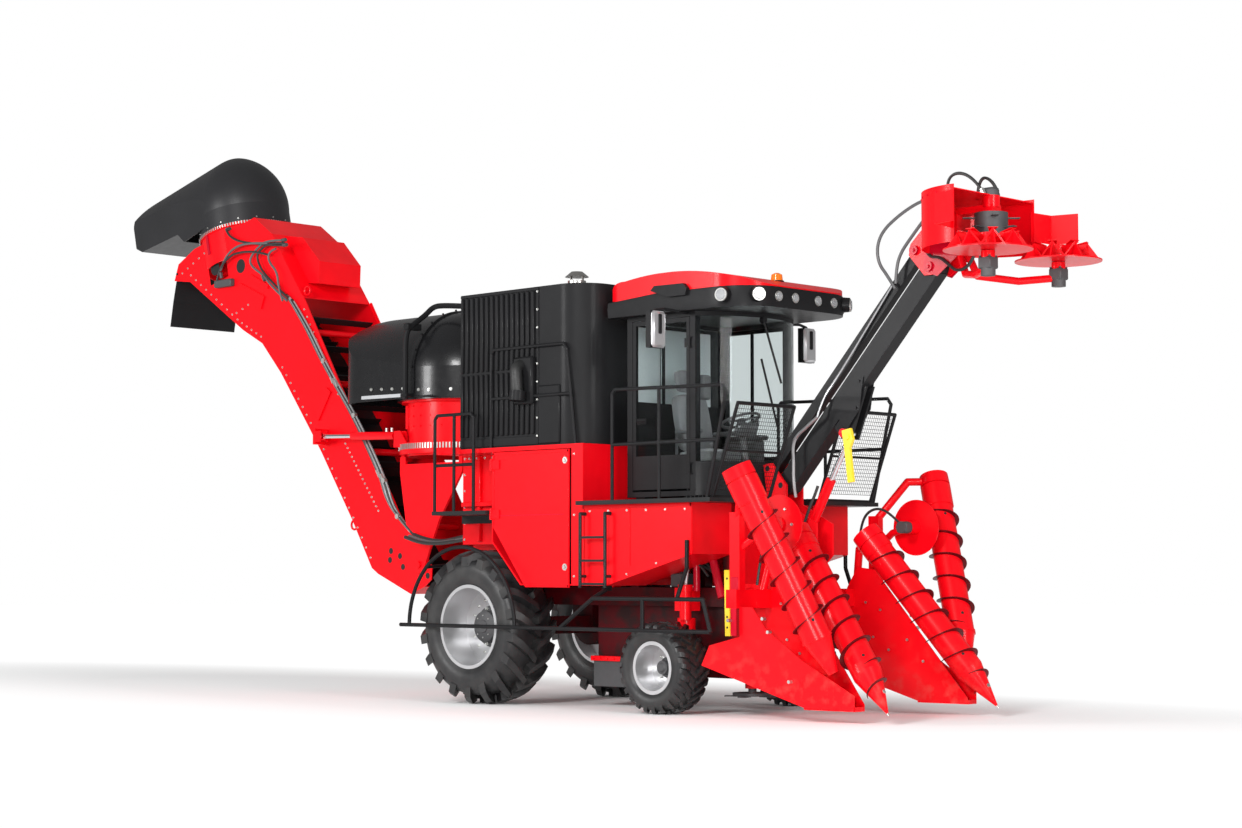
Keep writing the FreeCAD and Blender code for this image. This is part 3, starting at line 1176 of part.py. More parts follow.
STRUT_BARREL_LEN = 820.0
STRUT_ROD_START = 370.0  # how deep the rod reaches into the barrel, from the foot pin
struts = [
    lift_cylinder(
        STRUT_BASE, STRUT_EYE, side * STRUT_Y, STRUT_R, STRUT_ROD_R, STRUT_PIN_R, EYE_R, EYE_W,
        STRUT_BARREL_LEN, STRUT_ROD_START,
    )
    for name, side in SIDES
]
nodes["elevator_turntable"] = turntable()
nodes["elevator_frame"] = elevator_frame()
nodes["elevator_conveyor"] = elevator_conveyor()
nodes["elevator_cylinders"] = Part.makeCompound([pair[0] for pair in struts])
nodes["elevator_rods"] = Part.makeCompound([pair[1] for pair in struts])
nodes["bin_flap"] = bin_flap()


# ---------------------------------------------------------------- secondary extractor
SPOUT_X = -1720.0
SPOUT_TOP = 1010.0


def secondary_hood():
    """Dome and long spout on a turning collar, drawn upright and then tilted into place."""
    def block(inset):
        r = SEC_R - inset
        lower = 62 - (inset and 1)
        top = SPOUT_TOP - inset
        dome, vault = domed(r, lower, 230, top, -SPOUT_X + 20)
        x0 = SPOUT_X - (inset and 2)
        outline = Part.Wire([
            Part.makeLine(V(2, 0, lower), V(2, 0, top + 2)),
            Part.makeLine(V(2, 0, top + 2), V(SPOUT_X + 800, 0, top + 2)),
            Part.Arc(
                V(SPOUT_X + 800, 0, top + 2), V(SPOUT_X + 290, 0, 925 - inset), V(x0, 0, 590 - inset)
            ).toShape(),
            Part.makeLine(V(x0, 0, 590 - inset), V(x0, 0, 400 + inset)),
            Part.makeLine(V(x0, 0, 400 + inset), V(SPOUT_X + 160, 0, 290 + inset)),
            Part.makeLine(V(SPOUT_X + 160, 0, 290 + inset), V(-r - 120, 0, 200 + inset)),
            Part.makeLine(V(-r - 120, 0, 200 + inset), V(-r, 0, lower)),
            Part.makeLine(V(-r, 0, lower), V(2, 0, lower)),
        ])
        side_view = Part.Face(outline).extrude(Y_AXIS * (2 * SEC_R + 20))
        side_view.translate(V(0, -SEC_R - 10, 0))
        plan = hood_plan(inset, lower - 1, 1110, SEC_R, SPOUT_X - 4 - 2 * inset, SEC_R - 130, 60)
        return dome.fuse(vault.common(side_view).common(plan))
    shell = block(0).cut(block(HOOD_T))
    collar = cyl(0, 0, RUN_GAP, SEC_R, 64 - RUN_GAP).cut(cyl(0, 0, -1, SEC_R - 50, 80))
    return sec_place(fuse([shell, collar]))


nodes["secondary_hood"] = secondary_hood()
nodes["secondary_fan"] = sec_place(fan(0, 0, -150, SEC_R - 20 - PLATE - 25, FAN_SHAFT_R))


# ---------------------------------------------------------------- topper
BOOM_D = 190.0
LINK_W = 90.0
LINK_D = 100.0
CLEVIS_Y = 106.0         # outer face of the head's two cheek plates
CLEVIS_T = 24.0
LIFT_EYE = (4020.0, 2640.0)      # rod pin of the topper's lift cylinder, on the boom's lugs
DRUM_X = 5985.0
DRUM_Y = 540.0
DRUM_Z = 4130.0
DRUM_R = 390.0
DRUM_BORE_R = 30.0
CUTTER_DRUM_X = 5640.0

topper_link_head = (TOPPER_TIP[0] + TOPPER_LINK[0], TOPPER_TIP[1] + TOPPER_LINK[1])


def arm_between(foot, head, width, depth, end_r, foot_half, foot_pin):
    """Box arm with round ends; the foot has its own pin, the head is bored."""
    x0, z0 = foot
    x1, z1 = head
    parts = [
        bar((x0, 0, z0), (x1, 0, z1), width, depth),
        cyl_y(x0, z0, -width / 2, width / 2, end_r),
        cyl_y(x1, z1, -width / 2, width / 2, end_r),
        cyl_y(x0, z0, -foot_half, foot_half, foot_pin),
    ]
    return fuse(parts).cut(cyl_y(x1, z1, -width, width, foot_pin + PIN_GAP))


def topper_boom():
    """Main boom of the topper, with the pair of lugs that the lift cylinder pushes on."""
    boom = arm_between(TOPPER_PIVOT, TOPPER_TIP, BOOM_W, BOOM_D, BOOM_D / 2 - 8, TOWER_Y, PIN_R)
    ex, ez = LIFT_EYE
    parts = [boom]
    for side in (-1, 1):
        y0, y1 = sorted((side * (BOOM_W / 2 - 35), side * (BOOM_W / 2 - 10)))
        lug = [
            (ex - 60, ez - 50), (ex + 50, ez - 60), (ex + 240, ez + 430), (ex - 160, ez + 290),
            (ex - 200, ez + 130),
        ]
        parts.append(side_plate(lug, y0, y1))
    return fuse(parts)


def topper_head():
    """Level head of the topper: cheeks on the boom's pins, curved cowl, and arms to the drum motors."""
    parts = []
    cheek = [
        (topper_link_head[0] - 70, topper_link_head[1] - 40), (TOPPER_TIP[0] - 60, TOPPER_TIP[1] - 75),
        (TOPPER_TIP[0] + 90, TOPPER_TIP[1] - 75), (5330, 4190), (5330, 4560), (5050, 4560),
        (topper_link_head[0] - 50, topper_link_head[1] + 60),
    ]
    for side in (-1, 1):
        y0, y1 = sorted((side * (CLEVIS_Y - CLEVIS_T), side * CLEVIS_Y))
        parts.append(side_plate(cheek, y0, y1))
    for x, z, r in ((*TOPPER_TIP, PIN_R), (*topper_link_head, PIN_R)):
        parts.append(cyl_y(x, z, -CLEVIS_Y, CLEVIS_Y, r))
    parts.append(box(5300, 5340, -CLEVIS_Y, CLEVIS_Y, 4190, 4560))
    cowl = cyl(CUTTER_DRUM_X, 0, 4230, 620, 510).cut(cyl(CUTTER_DRUM_X, 0, 4229, 610, 512))
    cowl = cowl.common(box(4900, CUTTER_DRUM_X + 40, -640, 640, 4229, 4741))
    slot = box(4900, 5330, -CLEVIS_Y + 2, CLEVIS_Y - 2, 4100, 4600)
    parts.append(cowl.cut(slot))
    lid = cyl(CUTTER_DRUM_X, 0, 4700, 612, 10).common(box(4900, CUTTER_DRUM_X + 40, -640, 640, 4690, 4720))
    parts.append(lid)
    for side in (-1, 1):
        y0, y1 = sorted((side * 560, side * 940))
        wing = [
            (CUTTER_DRUM_X + 20, side * 595), (CUTTER_DRUM_X + 20, side * 618),
            (DRUM_X - 300, side * 905), (DRUM_X - 60, side * 960), (DRUM_X - 60, side * 945),
            (DRUM_X - 300, side * 885),
        ]
        parts.append(flat_plate(wing, 4350, 4620))
        # arm from the cheeks to the drum motor, under the disc
        run = [
            (5330, side * 60, 4230), (5420, side * 90, 4010), (5700, side * 330, 3960),
            (DRUM_X, side * DRUM_Y, 3985),
        ]
        parts.append(tube_run(run, 34))
        parts.append(cyl(DRUM_X, side * DRUM_Y, 3950, 62, DRUM_Z - 3950 - 5))
        parts.append(cyl(DRUM_X, side * DRUM_Y, DRUM_Z - 10, DRUM_BORE_R, 130))
    parts.append(box(5300, CUTTER_DRUM_X + 60, -70, 70, 4560, 4620))
    parts.append(box(5240, 5300, -70, 70, 4500, 4620))
    parts.append(cyl(CUTTER_DRUM_X, 0, 4600, 80, 105))
    parts.append(cyl(CUTTER_DRUM_X, 0, 4380, 35, 240))
    return fuse(parts)


def gathering_drum(side):
    """Flat disc with eight triangular gathering paddles, on the motor's spindle."""
    y = side * DRUM_Y
    parts = [cyl(DRUM_X, y, DRUM_Z, DRUM_R, 12), cyl(DRUM_X, y, DRUM_Z, 75, 150)]
    paddle = [
        (DRUM_X + 40, DRUM_Z + 8), (DRUM_X + DRUM_R - 20, DRUM_Z + 8), (DRUM_X + DRUM_R - 130, DRUM_Z + 160),
        (DRUM_X + 40, DRUM_Z + 120),
    ]
    fin = side_plate(paddle, y - 6, y + 6)
    for step in range(8):
        parts.append(turned(fin, (DRUM_X, y, 0), Z_AXIS, 45 * step + (22.5 if side > 0 else 0)))
    return fuse(parts).cut(cyl(DRUM_X, y, DRUM_Z - 5, DRUM_BORE_R + PIN_GAP, 130))


def topper_cutter():
    """Shredding drum with rows of short blades, hanging on its own motor shaft."""
    x = CUTTER_DRUM_X
    parts = [cyl(x, 0, 4190, 150, 360)]
    for level in range(4):
        for step in range(4):
            blade = box(x + 140, x + 255, -30, 30, 4215 + 95 * level, 4223 + 95 * level)
            parts.append(turned(blade, (x, 0, 0), Z_AXIS, 90 * step + 45 * (level % 2)))
    return fuse(parts).cut(cyl(x, 0, 4375, 35 + PIN_GAP, 400))


topper_struts = lift_cylinder(LIFT_BASE, LIFT_EYE, 0.0, 48.0, 26.0, PIN_R, 46.0, 60.0, 660.0, 540.0)
nodes["topper_boom"] = topper_boom()
nodes["topper_link"] = arm_between(
    topper_link_foot, topper_link_head, LINK_W, LINK_D, LINK_D / 2, TOWER_Y, PIN_R
)
nodes["topper_head"] = topper_head()
nodes["topper_cylinder"] = topper_struts[0].fuse(
    cyl_y(LIFT_BASE[0], LIFT_BASE[1], -TOWER_Y, TOWER_Y, PIN_R)
)
nodes["topper_rod"] = topper_struts[1].fuse(cyl_y(LIFT_EYE[0], LIFT_EYE[1], -34, 34, PIN_R))
nodes["topper_cutter"] = topper_cutter()
for name, side in SIDES:
    nodes["gathering_drum_" + name] = gathering_drum(side)


# ---------------------------------------------------------------- crop dividers
SCROLL_R = 135.0
SCROLL_SHAFT_R = 30.0
OUTER_TOP = (3920.0, 1440.0, 2180.0)
OUTER_END = (4500.0, 1056.0, 700.0)
INNER_TOP = (3840.0, 535.0, 1630.0)
INNER_TIP = (5070.0, 820.0, 100.0)
DISC_C = (4000.0, 1018.0, 1770.0)
DISC_R = 270.0
WALL_T = 10.0


def along(start, end, distance):
    """Point at a distance from start on the line towards end."""
    a = V(*start)
    direction = (V(*end) - a).normalize()
    return tuple(a + direction * distance)


def sided(point, side):
    """The same point on the other side of the machine when side is -1."""
    return (point[0], side * point[1], point[2])


def toed(shape, x, y, degrees):
    """Turns an upright sheet about a vertical line."""
    return turned(shape, (x, y, 0), Z_AXIS, degrees)


def scroll(top, end, tip_r, cone_length, side):
    """Hollow-looking tube with a tapered lower end and a stub shaft at its upper end."""
    top = sided(top, side)
    end = sided(end, side)
    length = (V(*end) - V(*top)).Length
    neck = along(top, end, length - cone_length)
    return fuse([
        rod(top, neck, SCROLL_R), cone(neck, end, SCROLL_R, tip_r),
        rod(along(top, end, -105), along(top, end, 5), SCROLL_SHAFT_R),
    ])


def bearing(top, end, side):
    """Bush that the scroll's stub shaft turns in."""
    top = sided(top, side)
    end = sided(end, side)
    bush = rod(along(top, end, -100), along(top, end, -6), 62)
    return bush


def divider_frame(side):
    """Divider: hinge eyes, cross beam, post, toed-in sheets, toe shoe, bearings and trim disc spindle."""
    hx, hz = DIVIDER_HINGE
    parts = []
    for ya, yb in ((THROAT_Y + 8, THROAT_Y + 38), (THROAT_Y + 200, THROAT_Y + 230)):
        y0, y1 = sorted((side * ya, side * yb))
        parts.append(cyl_y(hx, hz, y0, y1, 72))
        parts.append(box(hx, 3480, y0, y1, hz - 60, hz + 60))
    y0, y1 = sorted((side * (THROAT_Y + 8), side * 1110))
    parts.append(box(3432, 3560, y0, y1, hz - 110, hz + 60))
    y0, y1 = sorted((side * 985, side * 1065))
    parts.append(box(3440, 3560, y0, y1, hz, 1890))
    inner_line = [
        (3480, 700), (3850, 250), (4300, 110), (4780, 110), (4780, 170), (3790, 1365), (3600, 1390),
        (3480, 1190),
    ]
    inner = side_plate(inner_line, 0, WALL_T)
    inner.translate(V(0, side * 600 - WALL_T / 2, 0))
    parts.append(toed(inner, 3480, side * 600, side * 7.5))
    outer_line = [
        (3130, 480), (3220, 665), (3560, 750), (3560, 1020), (3700, 1020), (3840, 830), (4250, 540),
        (4780, 250), (4780, 110), (4250, 130),
    ]
    outer = side_plate(outer_line, 0, WALL_T)
    outer.translate(V(0, side * 1110 - WALL_T / 2, 0))
    parts.append(toed(outer, 3130, side * 1110, -side * 7.0))
    shoe = [(4240, side * 705), (4775, side * 773), (4775, side * 905), (4240, side * 970)]
    parts.append(flat_plate(shoe if side > 0 else list(reversed(shoe)), 110, 150))
    tie = [(4240, side * 703), (4300, side * 712), (4300, side * 962), (4240, side * 970)]
    parts.append(flat_plate(tie if side > 0 else list(reversed(tie)), 110, 420))
    parts.append(bearing(OUTER_TOP, OUTER_END, side))
    parts.append(tube_run([along(sided(OUTER_TOP, side), sided(OUTER_END, side), -55),
                           (3740, side * 1230, 2225), (3520, side * 1030, 1860)], 38))
    parts.append(bearing(INNER_TOP, INNER_TIP, side))
    parts.append(tube_run([along(sided(INNER_TOP, side), sided(INNER_TIP, side), -55),
                           (3600, side * 640, 1560), (3510, side * 700, 1130)], 38))
    dx, dy, dz = DISC_C
    y0, y1 = sorted((side * (dy - 130), side * (dy - 12)))
    parts.append(cyl_y(dx, dz, y0, y1, 62))
    y0, y1 = sorted((side * (dy - 20), side * (dy + 18)))
    parts.append(cyl_y(dx, dz, y0, y1, 22))
    motor_arm = [(dx, side * (dy - 80), dz), (3760, side * (dy - 60), 1720), (3520, side * 1010, 1560)]
    parts.append(tube_run(motor_arm, 34))
    frame = fuse(parts)
    for top, end in ((OUTER_TOP, OUTER_END), (INNER_TOP, INNER_TIP)):
        a = sided(top, side)
        b = sided(end, side)
        frame = frame.cut(rod(along(a, b, -112), along(a, b, 8), SCROLL_SHAFT_R + PIN_GAP))
    return frame.cut(cyl_y(hx, hz, -1300, 1300, DIVIDER_PIN_R + PIN_GAP))


def trim_disc(side):
    """Flat side disc with a raised rim, turning on the motor spindle."""
    dx, dy, dz = DISC_C
    y0, y1 = sorted((side * (dy - 6), side * (dy + 6)))
    disc = cyl_y(dx, dz, y0, y1, DISC_R)
    y0, y1 = sorted((side * (dy - 8), side * (dy + 30)))
    hub = cyl_y(dx, dz, y0, y1, 70)
    y0, y1 = sorted((side * (dy - 30), side * (dy + 20)))
    return fuse([disc, hub]).cut(cyl_y(dx, dz, y0, y1, 22 + PIN_GAP))


for name, side in SIDES:
    nodes["divider_" + name] = divider_frame(side)
    nodes["outer_scroll_" + name] = scroll(OUTER_TOP, along(OUTER_END, OUTER_TOP, -280), 45, 330, side)
    nodes["inner_scroll_" + name] = scroll(INNER_TOP, INNER_TIP, 8, 430, side)
    nodes["trim_disc_" + name] = trim_disc(side)


# ---------------------------------------------------------------- common origin and export
whole = Part.makeCompound(list(nodes.values())).optimalBoundingBox(False, False)
shift = V(-(whole.XMin + whole.XMax) / 2, -(whole.YMin + whole.YMax) / 2, -whole.ZMin)
os.makedirs("parts", exist_ok=True)
for name, shape in nodes.items():
    placed = shape.copy()
    placed.translate(shift)
    placed.exportStep("parts/" + name + ".step")
print("shift", round(shift.x, 3), round(shift.y, 3), round(shift.z, 3))
print("nodes", len(nodes))
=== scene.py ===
import json
import math

import bmesh
import bpy
from mathutils import Matrix, Vector


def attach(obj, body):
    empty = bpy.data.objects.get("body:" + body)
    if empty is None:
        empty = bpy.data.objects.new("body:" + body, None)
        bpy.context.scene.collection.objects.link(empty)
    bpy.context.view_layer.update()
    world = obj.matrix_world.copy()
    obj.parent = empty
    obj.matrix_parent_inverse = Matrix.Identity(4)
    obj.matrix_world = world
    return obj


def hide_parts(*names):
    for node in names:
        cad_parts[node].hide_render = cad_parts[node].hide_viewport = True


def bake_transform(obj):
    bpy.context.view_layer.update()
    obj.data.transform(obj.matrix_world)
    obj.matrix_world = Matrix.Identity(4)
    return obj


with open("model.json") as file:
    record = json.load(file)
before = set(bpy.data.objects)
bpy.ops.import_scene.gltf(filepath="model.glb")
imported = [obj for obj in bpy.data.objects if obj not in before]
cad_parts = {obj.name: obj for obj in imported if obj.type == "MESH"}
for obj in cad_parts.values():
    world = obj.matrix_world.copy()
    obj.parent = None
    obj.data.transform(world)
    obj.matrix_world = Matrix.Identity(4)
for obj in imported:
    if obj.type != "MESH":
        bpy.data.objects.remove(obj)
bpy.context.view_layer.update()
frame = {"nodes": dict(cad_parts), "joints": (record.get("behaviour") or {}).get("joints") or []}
nodes = frame["nodes"]
joints = {joint["name"]: joint for joint in frame["joints"]}
scene = bpy.context.scene


# ---------------------------------------------------------------- camera and studio
# A long lens looks at the harvester from its right front corner, from about chest height.
# The machine stands on a plain pale floor that fades into a white room, under soft lamps.
axle_x = joints["rear_wheel_right_spin"]["pos_m"][0]


def at(x, y, z):
    """A place measured from the ground under the rear axle: forward, left and up."""
    return Vector((x + axle_x, y, z))


camera = bpy.data.objects.new("camera", bpy.data.cameras.new("camera"))
scene.collection.objects.link(camera)
camera.data.lens = 67.2
camera.data.sensor_width = 36.0
camera.data.clip_end = 200.0
camera.location = at(17.6956, -17.0355, 1.3505)
heading, pitch = math.radians(44.43), math.radians(3.876)
sight = Vector((-math.sin(heading) * math.cos(pitch), math.cos(heading) * math.cos(pitch), math.sin(pitch)))
camera.rotation_euler = sight.to_track_quat("-Z", "Y").to_euler()
scene.camera = camera
scene.view_settings.view_transform = "Standard"


class Wire:
    """An output of a shader node that can be used in Python sums."""

    def __init__(self, finish, socket):
        self.finish = finish
        self.socket = socket

    def math(self, operation, first, second):
        return self.finish.node("ShaderNodeMath", {"operation": operation}, {0: first, 1: second})

    def __add__(self, other):
        return self.math("ADD", self, other)

    def __sub__(self, other):
        return self.math("SUBTRACT", self, other)

    def __rsub__(self, other):
        return self.math("SUBTRACT", other, self)

    def __mul__(self, other):
        return self.math("MULTIPLY", self, other)

    def __gt__(self, other):
        return self.math("GREATER_THAN", self, other)

    def __lt__(self, other):
        return self.math("LESS_THAN", self, other)

    __radd__ = __add__
    __rmul__ = __mul__


class Finish:
    """A material with one main shader, whose numbers are set once and whose patterns come from nodes."""

    def __init__(self, name, colour, roughness, **fixed):
        self.material = bpy.data.materials.new(name)
        self.material.use_nodes = True
        self.tree = self.material.node_tree
        self.shader = self.tree.nodes["Principled BSDF"]
        self.put({"Base Color": (*colour, 1.0), "Roughness": roughness})
        self.put({socket.replace("_", " "): value for socket, value in fixed.items()})

    def put(self, values, node=None):
        node = node or self.shader
        for socket, value in values.items():
            if isinstance(value, Wire):
                self.tree.links.new(value.socket, node.inputs[socket])
            else:
                node.inputs[socket].default_value = value

    def node(self, kind, settings, values, output=0):
        made = self.tree.nodes.new(kind)
        for setting, value in settings.items():
            if setting == "stops":
                for place, element in zip(value, made.color_ramp.elements):
                    element.position = place[0]
                    element.color = (*[place[1]] * 3, 1.0)
            else:
                setattr(made, setting, value)
        self.put(values, made)
        return Wire(self, made.outputs[output])

    def place(self):
        return self.node("ShaderNodeTexCoord", {}, {}, "Object")

    def axis(self, letter):
        return self.node("ShaderNodeSeparateXYZ", {}, {0: self.place()}, letter)

    def noise(self, scale, detail=3.0):
        values = {"Vector": self.place(), "Scale": scale, "Detail": detail}
        return self.node("ShaderNodeTexNoise", {}, values)

    def step(self, value, low, high):
        return self.node("ShaderNodeValToRGB", {"stops": ((low, 0.0), (high, 1.0))}, {0: value})

    def blend(self, mask, first, second):
        values = {0: mask, 6: first, 7: second}
        return self.node("ShaderNodeMix", {"data_type": "RGBA"}, values, 2)

    def bump(self, height, distance, strength=1.0):
        values = {"Height": height, "Distance": distance, "Strength": strength}
        self.put({"Normal": self.node("ShaderNodeBump", {}, values)})


FLOOR_GREY, DARK, BRIGHT = (0.93, 0.93, 0.93), (0.0, 0.0, 0.0, 1.0), (1.0, 1.0, 1.0, 1.0)
floor_finish = Finish("studio_floor", FLOOR_GREY, 0.9, Specular_IOR_Level=0.1)
stretched = {0: floor_finish.place(), 1: (0.03, 0.1, 0.0)}
oval = floor_finish.node("ShaderNodeVectorMath", {"operation": "MULTIPLY"}, stretched)
away = floor_finish.node("ShaderNodeVectorMath", {"operation": "LENGTH"}, {0: oval}, 1)
faded = floor_finish.step(away, 0.22, 0.42)
floor_finish.put({"Emission Strength": 1.0, "Emission Color": floor_finish.blend(faded, DARK, BRIGHT)})
floor_finish.put({"Base Color": floor_finish.blend(faded, (*FLOOR_GREY, 1.0), DARK)})
bm = bmesh.new()
bmesh.ops.create_circle(bm, cap_ends=True, segments=64, radius=70.0)
floor = bpy.data.objects.new("floor", bpy.data.meshes.new("floor"))
bm.to_mesh(floor.data)
bm.free()
scene.collection.objects.link(floor)
floor.data.materials.append(floor_finish.material)

room = bpy.data.worlds.new("room")
room.use_nodes = True
scene.world = room
room_nodes = room.node_tree.nodes
room_links = room.node_tree.links
rays = room_nodes.new("ShaderNodeLightPath")
seen = room_nodes.new("ShaderNodeMath")
seen.operation = "MAXIMUM"
room_links.new(rays.outputs["Is Camera Ray"], seen.inputs[0])
room_links.new(rays.outputs["Is Transmission Ray"], seen.inputs[1])
level = room_nodes.new("ShaderNodeMapRange")
level.inputs["To Min"].default_value = 0.55
level.inputs["To Max"].default_value = 1.0
room_links.new(seen.outputs[0], level.inputs["Value"])
gloss_level = room_nodes.new("ShaderNodeMath")
gloss_level.operation = "MULTIPLY_ADD"
gloss_level.inputs[1].default_value = -0.30
room_links.new(rays.outputs["Is Glossy Ray"], gloss_level.inputs[0])
room_links.new(level.outputs[0], gloss_level.inputs[2])
room_links.new(gloss_level.outputs[0], room_nodes["Background"].inputs["Strength"])
room_nodes["Background"].inputs["Color"].default_value = (1.0, 1.0, 1.0, 1.0)


def lamp(name, place, target, power, size):
    """Square soft box pointed at a place on the machine."""
    light = bpy.data.lights.new(name, "AREA")
    light.energy = power
    light.size = size
    holder = bpy.data.objects.new(name, light)
    scene.collection.objects.link(holder)
    holder.location = place
    holder.rotation_euler = (target - place).to_track_quat("-Z", "Y").to_euler()


lamp("key_lamp", at(7.0, -17.0, 10.0), at(1.0, 0.0, 2.0), 2000.0, 4.0)
lamp("side_lamp", at(-7.0, -15.0, 6.0), at(0.0, 0.0, 3.0), 1100.0, 4.0)
lamp("front_lamp", at(17.0, -4.0, 6.0), at(4.0, 0.0, 2.5), 800.0, 4.0)
lamp("fill_lamp", at(14.0, -14.0, 1.5), at(3.5, 0.0, 3.0), 1100.0, 3.0)


# ---------------------------------------------------------------- welded red body
# Body, tanks, doors, elevator and topper head are folded and welded plate, sprayed in glossy red enamel.
# The film has a faint orange peel, slightly uneven depth, and a little dust near the ground.
def paint(name, colour, roughness, coat, dust=0.25, specular=0.12):
    """Sprayed enamel with uneven depth, orange peel and dust low down."""
    film = {"Coat_Weight": coat, "Coat_Roughness": 0.12, "Specular_IOR_Level": specular}
    finish = Finish(name, colour, roughness, **film)
    deep = tuple(channel * 0.8 for channel in colour)
    clouds = finish.step(finish.noise(1.6), 0.35, 0.7)
    tone = finish.blend(clouds, (*deep, 1.0), (*colour, 1.0))
    low = finish.step(1.0 - finish.axis("Z") * 0.9, 0.3, 1.0)
    grime = finish.step(finish.noise(9.0, 6.0), 0.5, 0.75) * low * dust
    finish.put({"Base Color": finish.blend(grime, tone, (0.30, 0.22, 0.17, 1.0))})
    finish.put({"Roughness": finish.noise(14.0) * 0.12 + (roughness - 0.06) + grime * 0.3})
    finish.bump(finish.noise(240.0, 1.0), 0.0004, 0.35)
    return finish


red = paint("red_enamel", (0.88, 0.002, 0.008), 0.32, 0.1)
# A darker copy of the red enamel, used on parts that sit in shade: painted shade.
shaded_red = paint("shaded_red_enamel", (0.50, 0.002, 0.018), 0.34, 0.1)
RED_NODES = (
    "body_shell", "side_tanks", "engine_door_right", "engine_door_left", "front_axle",
    "steering_knuckle_right", "steering_knuckle_left", "extractor_chamber", "elevator_turntable",
    "elevator_frame", "elevator_cylinders", "topper_head", "topper_cylinder", "divider_right",
    "divider_left", "trim_disc_right", "trim_disc_left",
)


def coat_nodes(names, finish):
    """Gives carried-over frame parts their finish."""
    for name in names:
        data = nodes[name].data
        data.materials.clear()
        data.materials.append(finish.material)


coat_nodes(RED_NODES, red)


def piece(name, bm, body, finish, smooth=40.0):
    """Finished mesh of a piece, riding on its body; given a tuple of two bodies, it is left in place with no
    parent.
    """
    bmesh.ops.remove_doubles(bm, verts=bm.verts, dist=0.00005)
    bmesh.ops.recalc_face_normals(bm, faces=bm.faces)
    for edge in bm.edges:
        sharp = len(edge.link_faces) != 2 or edge.calc_face_angle(0.0) > math.radians(smooth)
        edge.smooth = not sharp
    for face in bm.faces:
        face.smooth = True
    mesh = bpy.data.meshes.new(name)
    bm.to_mesh(mesh)
    bm.free()
    mesh.materials.append(finish.material)
    made = bpy.data.objects.new(name, mesh)
    scene.collection.objects.link(made)
    if isinstance(body, tuple):
        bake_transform(made)
    else:
        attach(made, body)
    return made


def block(bm, low, high, bevel=0.004, turn=None):
    """Adds a rounded block between two corners, turned about its middle if asked."""
    low, high = Vector(low), Vector(high)
    made = bmesh.ops.create_cube(bm, size=1.0)["verts"]
    bmesh.ops.scale(bm, vec=high - low, verts=made)
    if bevel:
        edges = list({edge for vert in made for edge in vert.link_edges})
        grown = bmesh.ops.bevel(
            bm, geom=edges, offset=bevel, segments=1, affect="EDGES", profile=0.5, material=-1,
        )
        made = {vert for vert in made if vert.is_valid}
        made = list(made.union(*(face.verts for face in grown["faces"])))
    if turn:
        bmesh.ops.rotate(bm, cent=(0, 0, 0), matrix=turn, verts=made)
    bmesh.ops.translate(bm, vec=(low + high) / 2, verts=made)
    return made


def stud(bm, centre, axis, radius, length, tip=None, segments=16):
    """Adds a round bar or cone along an axis, starting at its centre point."""
    axis = Vector(axis).normalized()
    turn = axis.to_track_quat("Z", "Y").to_matrix()
    tip = radius if tip is None else tip
    made = bmesh.ops.create_cone(
        bm, cap_ends=True, segments=segments, radius1=radius, radius2=tip, depth=length,
    )["verts"]
    bmesh.ops.translate(bm, vec=(0, 0, length / 2), verts=made)
    bmesh.ops.rotate(bm, cent=(0, 0, 0), matrix=turn, verts=made)
    bmesh.ops.translate(bm, vec=centre, verts=made)
    return made


# ---------------------------------------------------------------- tyres
# Large drive tyres with deep chevron bars at the back, small implement tyres with short blocks in front.
# Each is one moulded carcass, bulged at the sidewalls, with its bars vulcanised onto the crown and shoulders.
rubber = Finish("tyre_rubber", (0.03, 0.03, 0.031), 0.78)
dusty = rubber.step(rubber.noise(5.0, 6.0), 0.42, 0.72) * 0.55
rubber.put({"Base Color": rubber.blend(dusty, (0.010, 0.010, 0.011, 1.0), (0.045, 0.043, 0.041, 1.0))})
rubber.put({"Roughness": rubber.noise(30.0) * 0.2 + 0.34})
rubber.bump(rubber.noise(180.0, 2.0), 0.0008, 0.6)


def carcass(bm, hub, profile, steps):
    """Spins a closed sidewall and crown outline about the wheel's axle."""
    corners = [bm.verts.new(hub + Vector((0.0, across, radius))) for radius, across in profile]
    edges = [bm.edges.new(pair) for pair in zip(corners, corners[1:] + corners[:1])]
    bmesh.ops.spin(
        bm, geom=corners + edges, cent=hub, axis=(0, 1, 0), angle=math.tau, steps=steps, use_merge=True,
    )


def tread_bar(bm, hub, start, sweep, across, radii, width):
    """Adds one raised bar that runs over the crown from one place across it to another."""
    bar = bmesh.new()
    bmesh.ops.create_cube(bar, size=1.0)
    length_edges = [edge for edge in bar.edges if abs((edge.verts[0].co - edge.verts[1].co).x) > 0.5]
    bmesh.ops.subdivide_edges(bar, edges=length_edges, cuts=3, use_grid_fill=True)
    depth, crown, shoulder = radii
    for vert in bar.verts:
        along, aside, up = vert.co.x + 0.5, vert.co.y, vert.co.z + 0.5
        top = crown + (shoulder - crown) * max(0.0, along - 0.55) ** 1.5 * 3.3
        radius = top - (1.0 - up) * depth
        turn = start + sweep * along + aside * width * (1.35 - 0.35 * up) * (0.8 + 0.4 * along) / crown
        width_place = across[0] + (across[1] - across[0]) * along
        vert.co = hub + Vector((radius * math.sin(turn), width_place, radius * math.cos(turn)))
    mesh = bpy.data.meshes.new("bar")
    bar.to_mesh(mesh)
    bar.free()
    bm.from_mesh(mesh)
    bpy.data.meshes.remove(mesh)


SIDES = (("right", -1.0), ("left", 1.0))
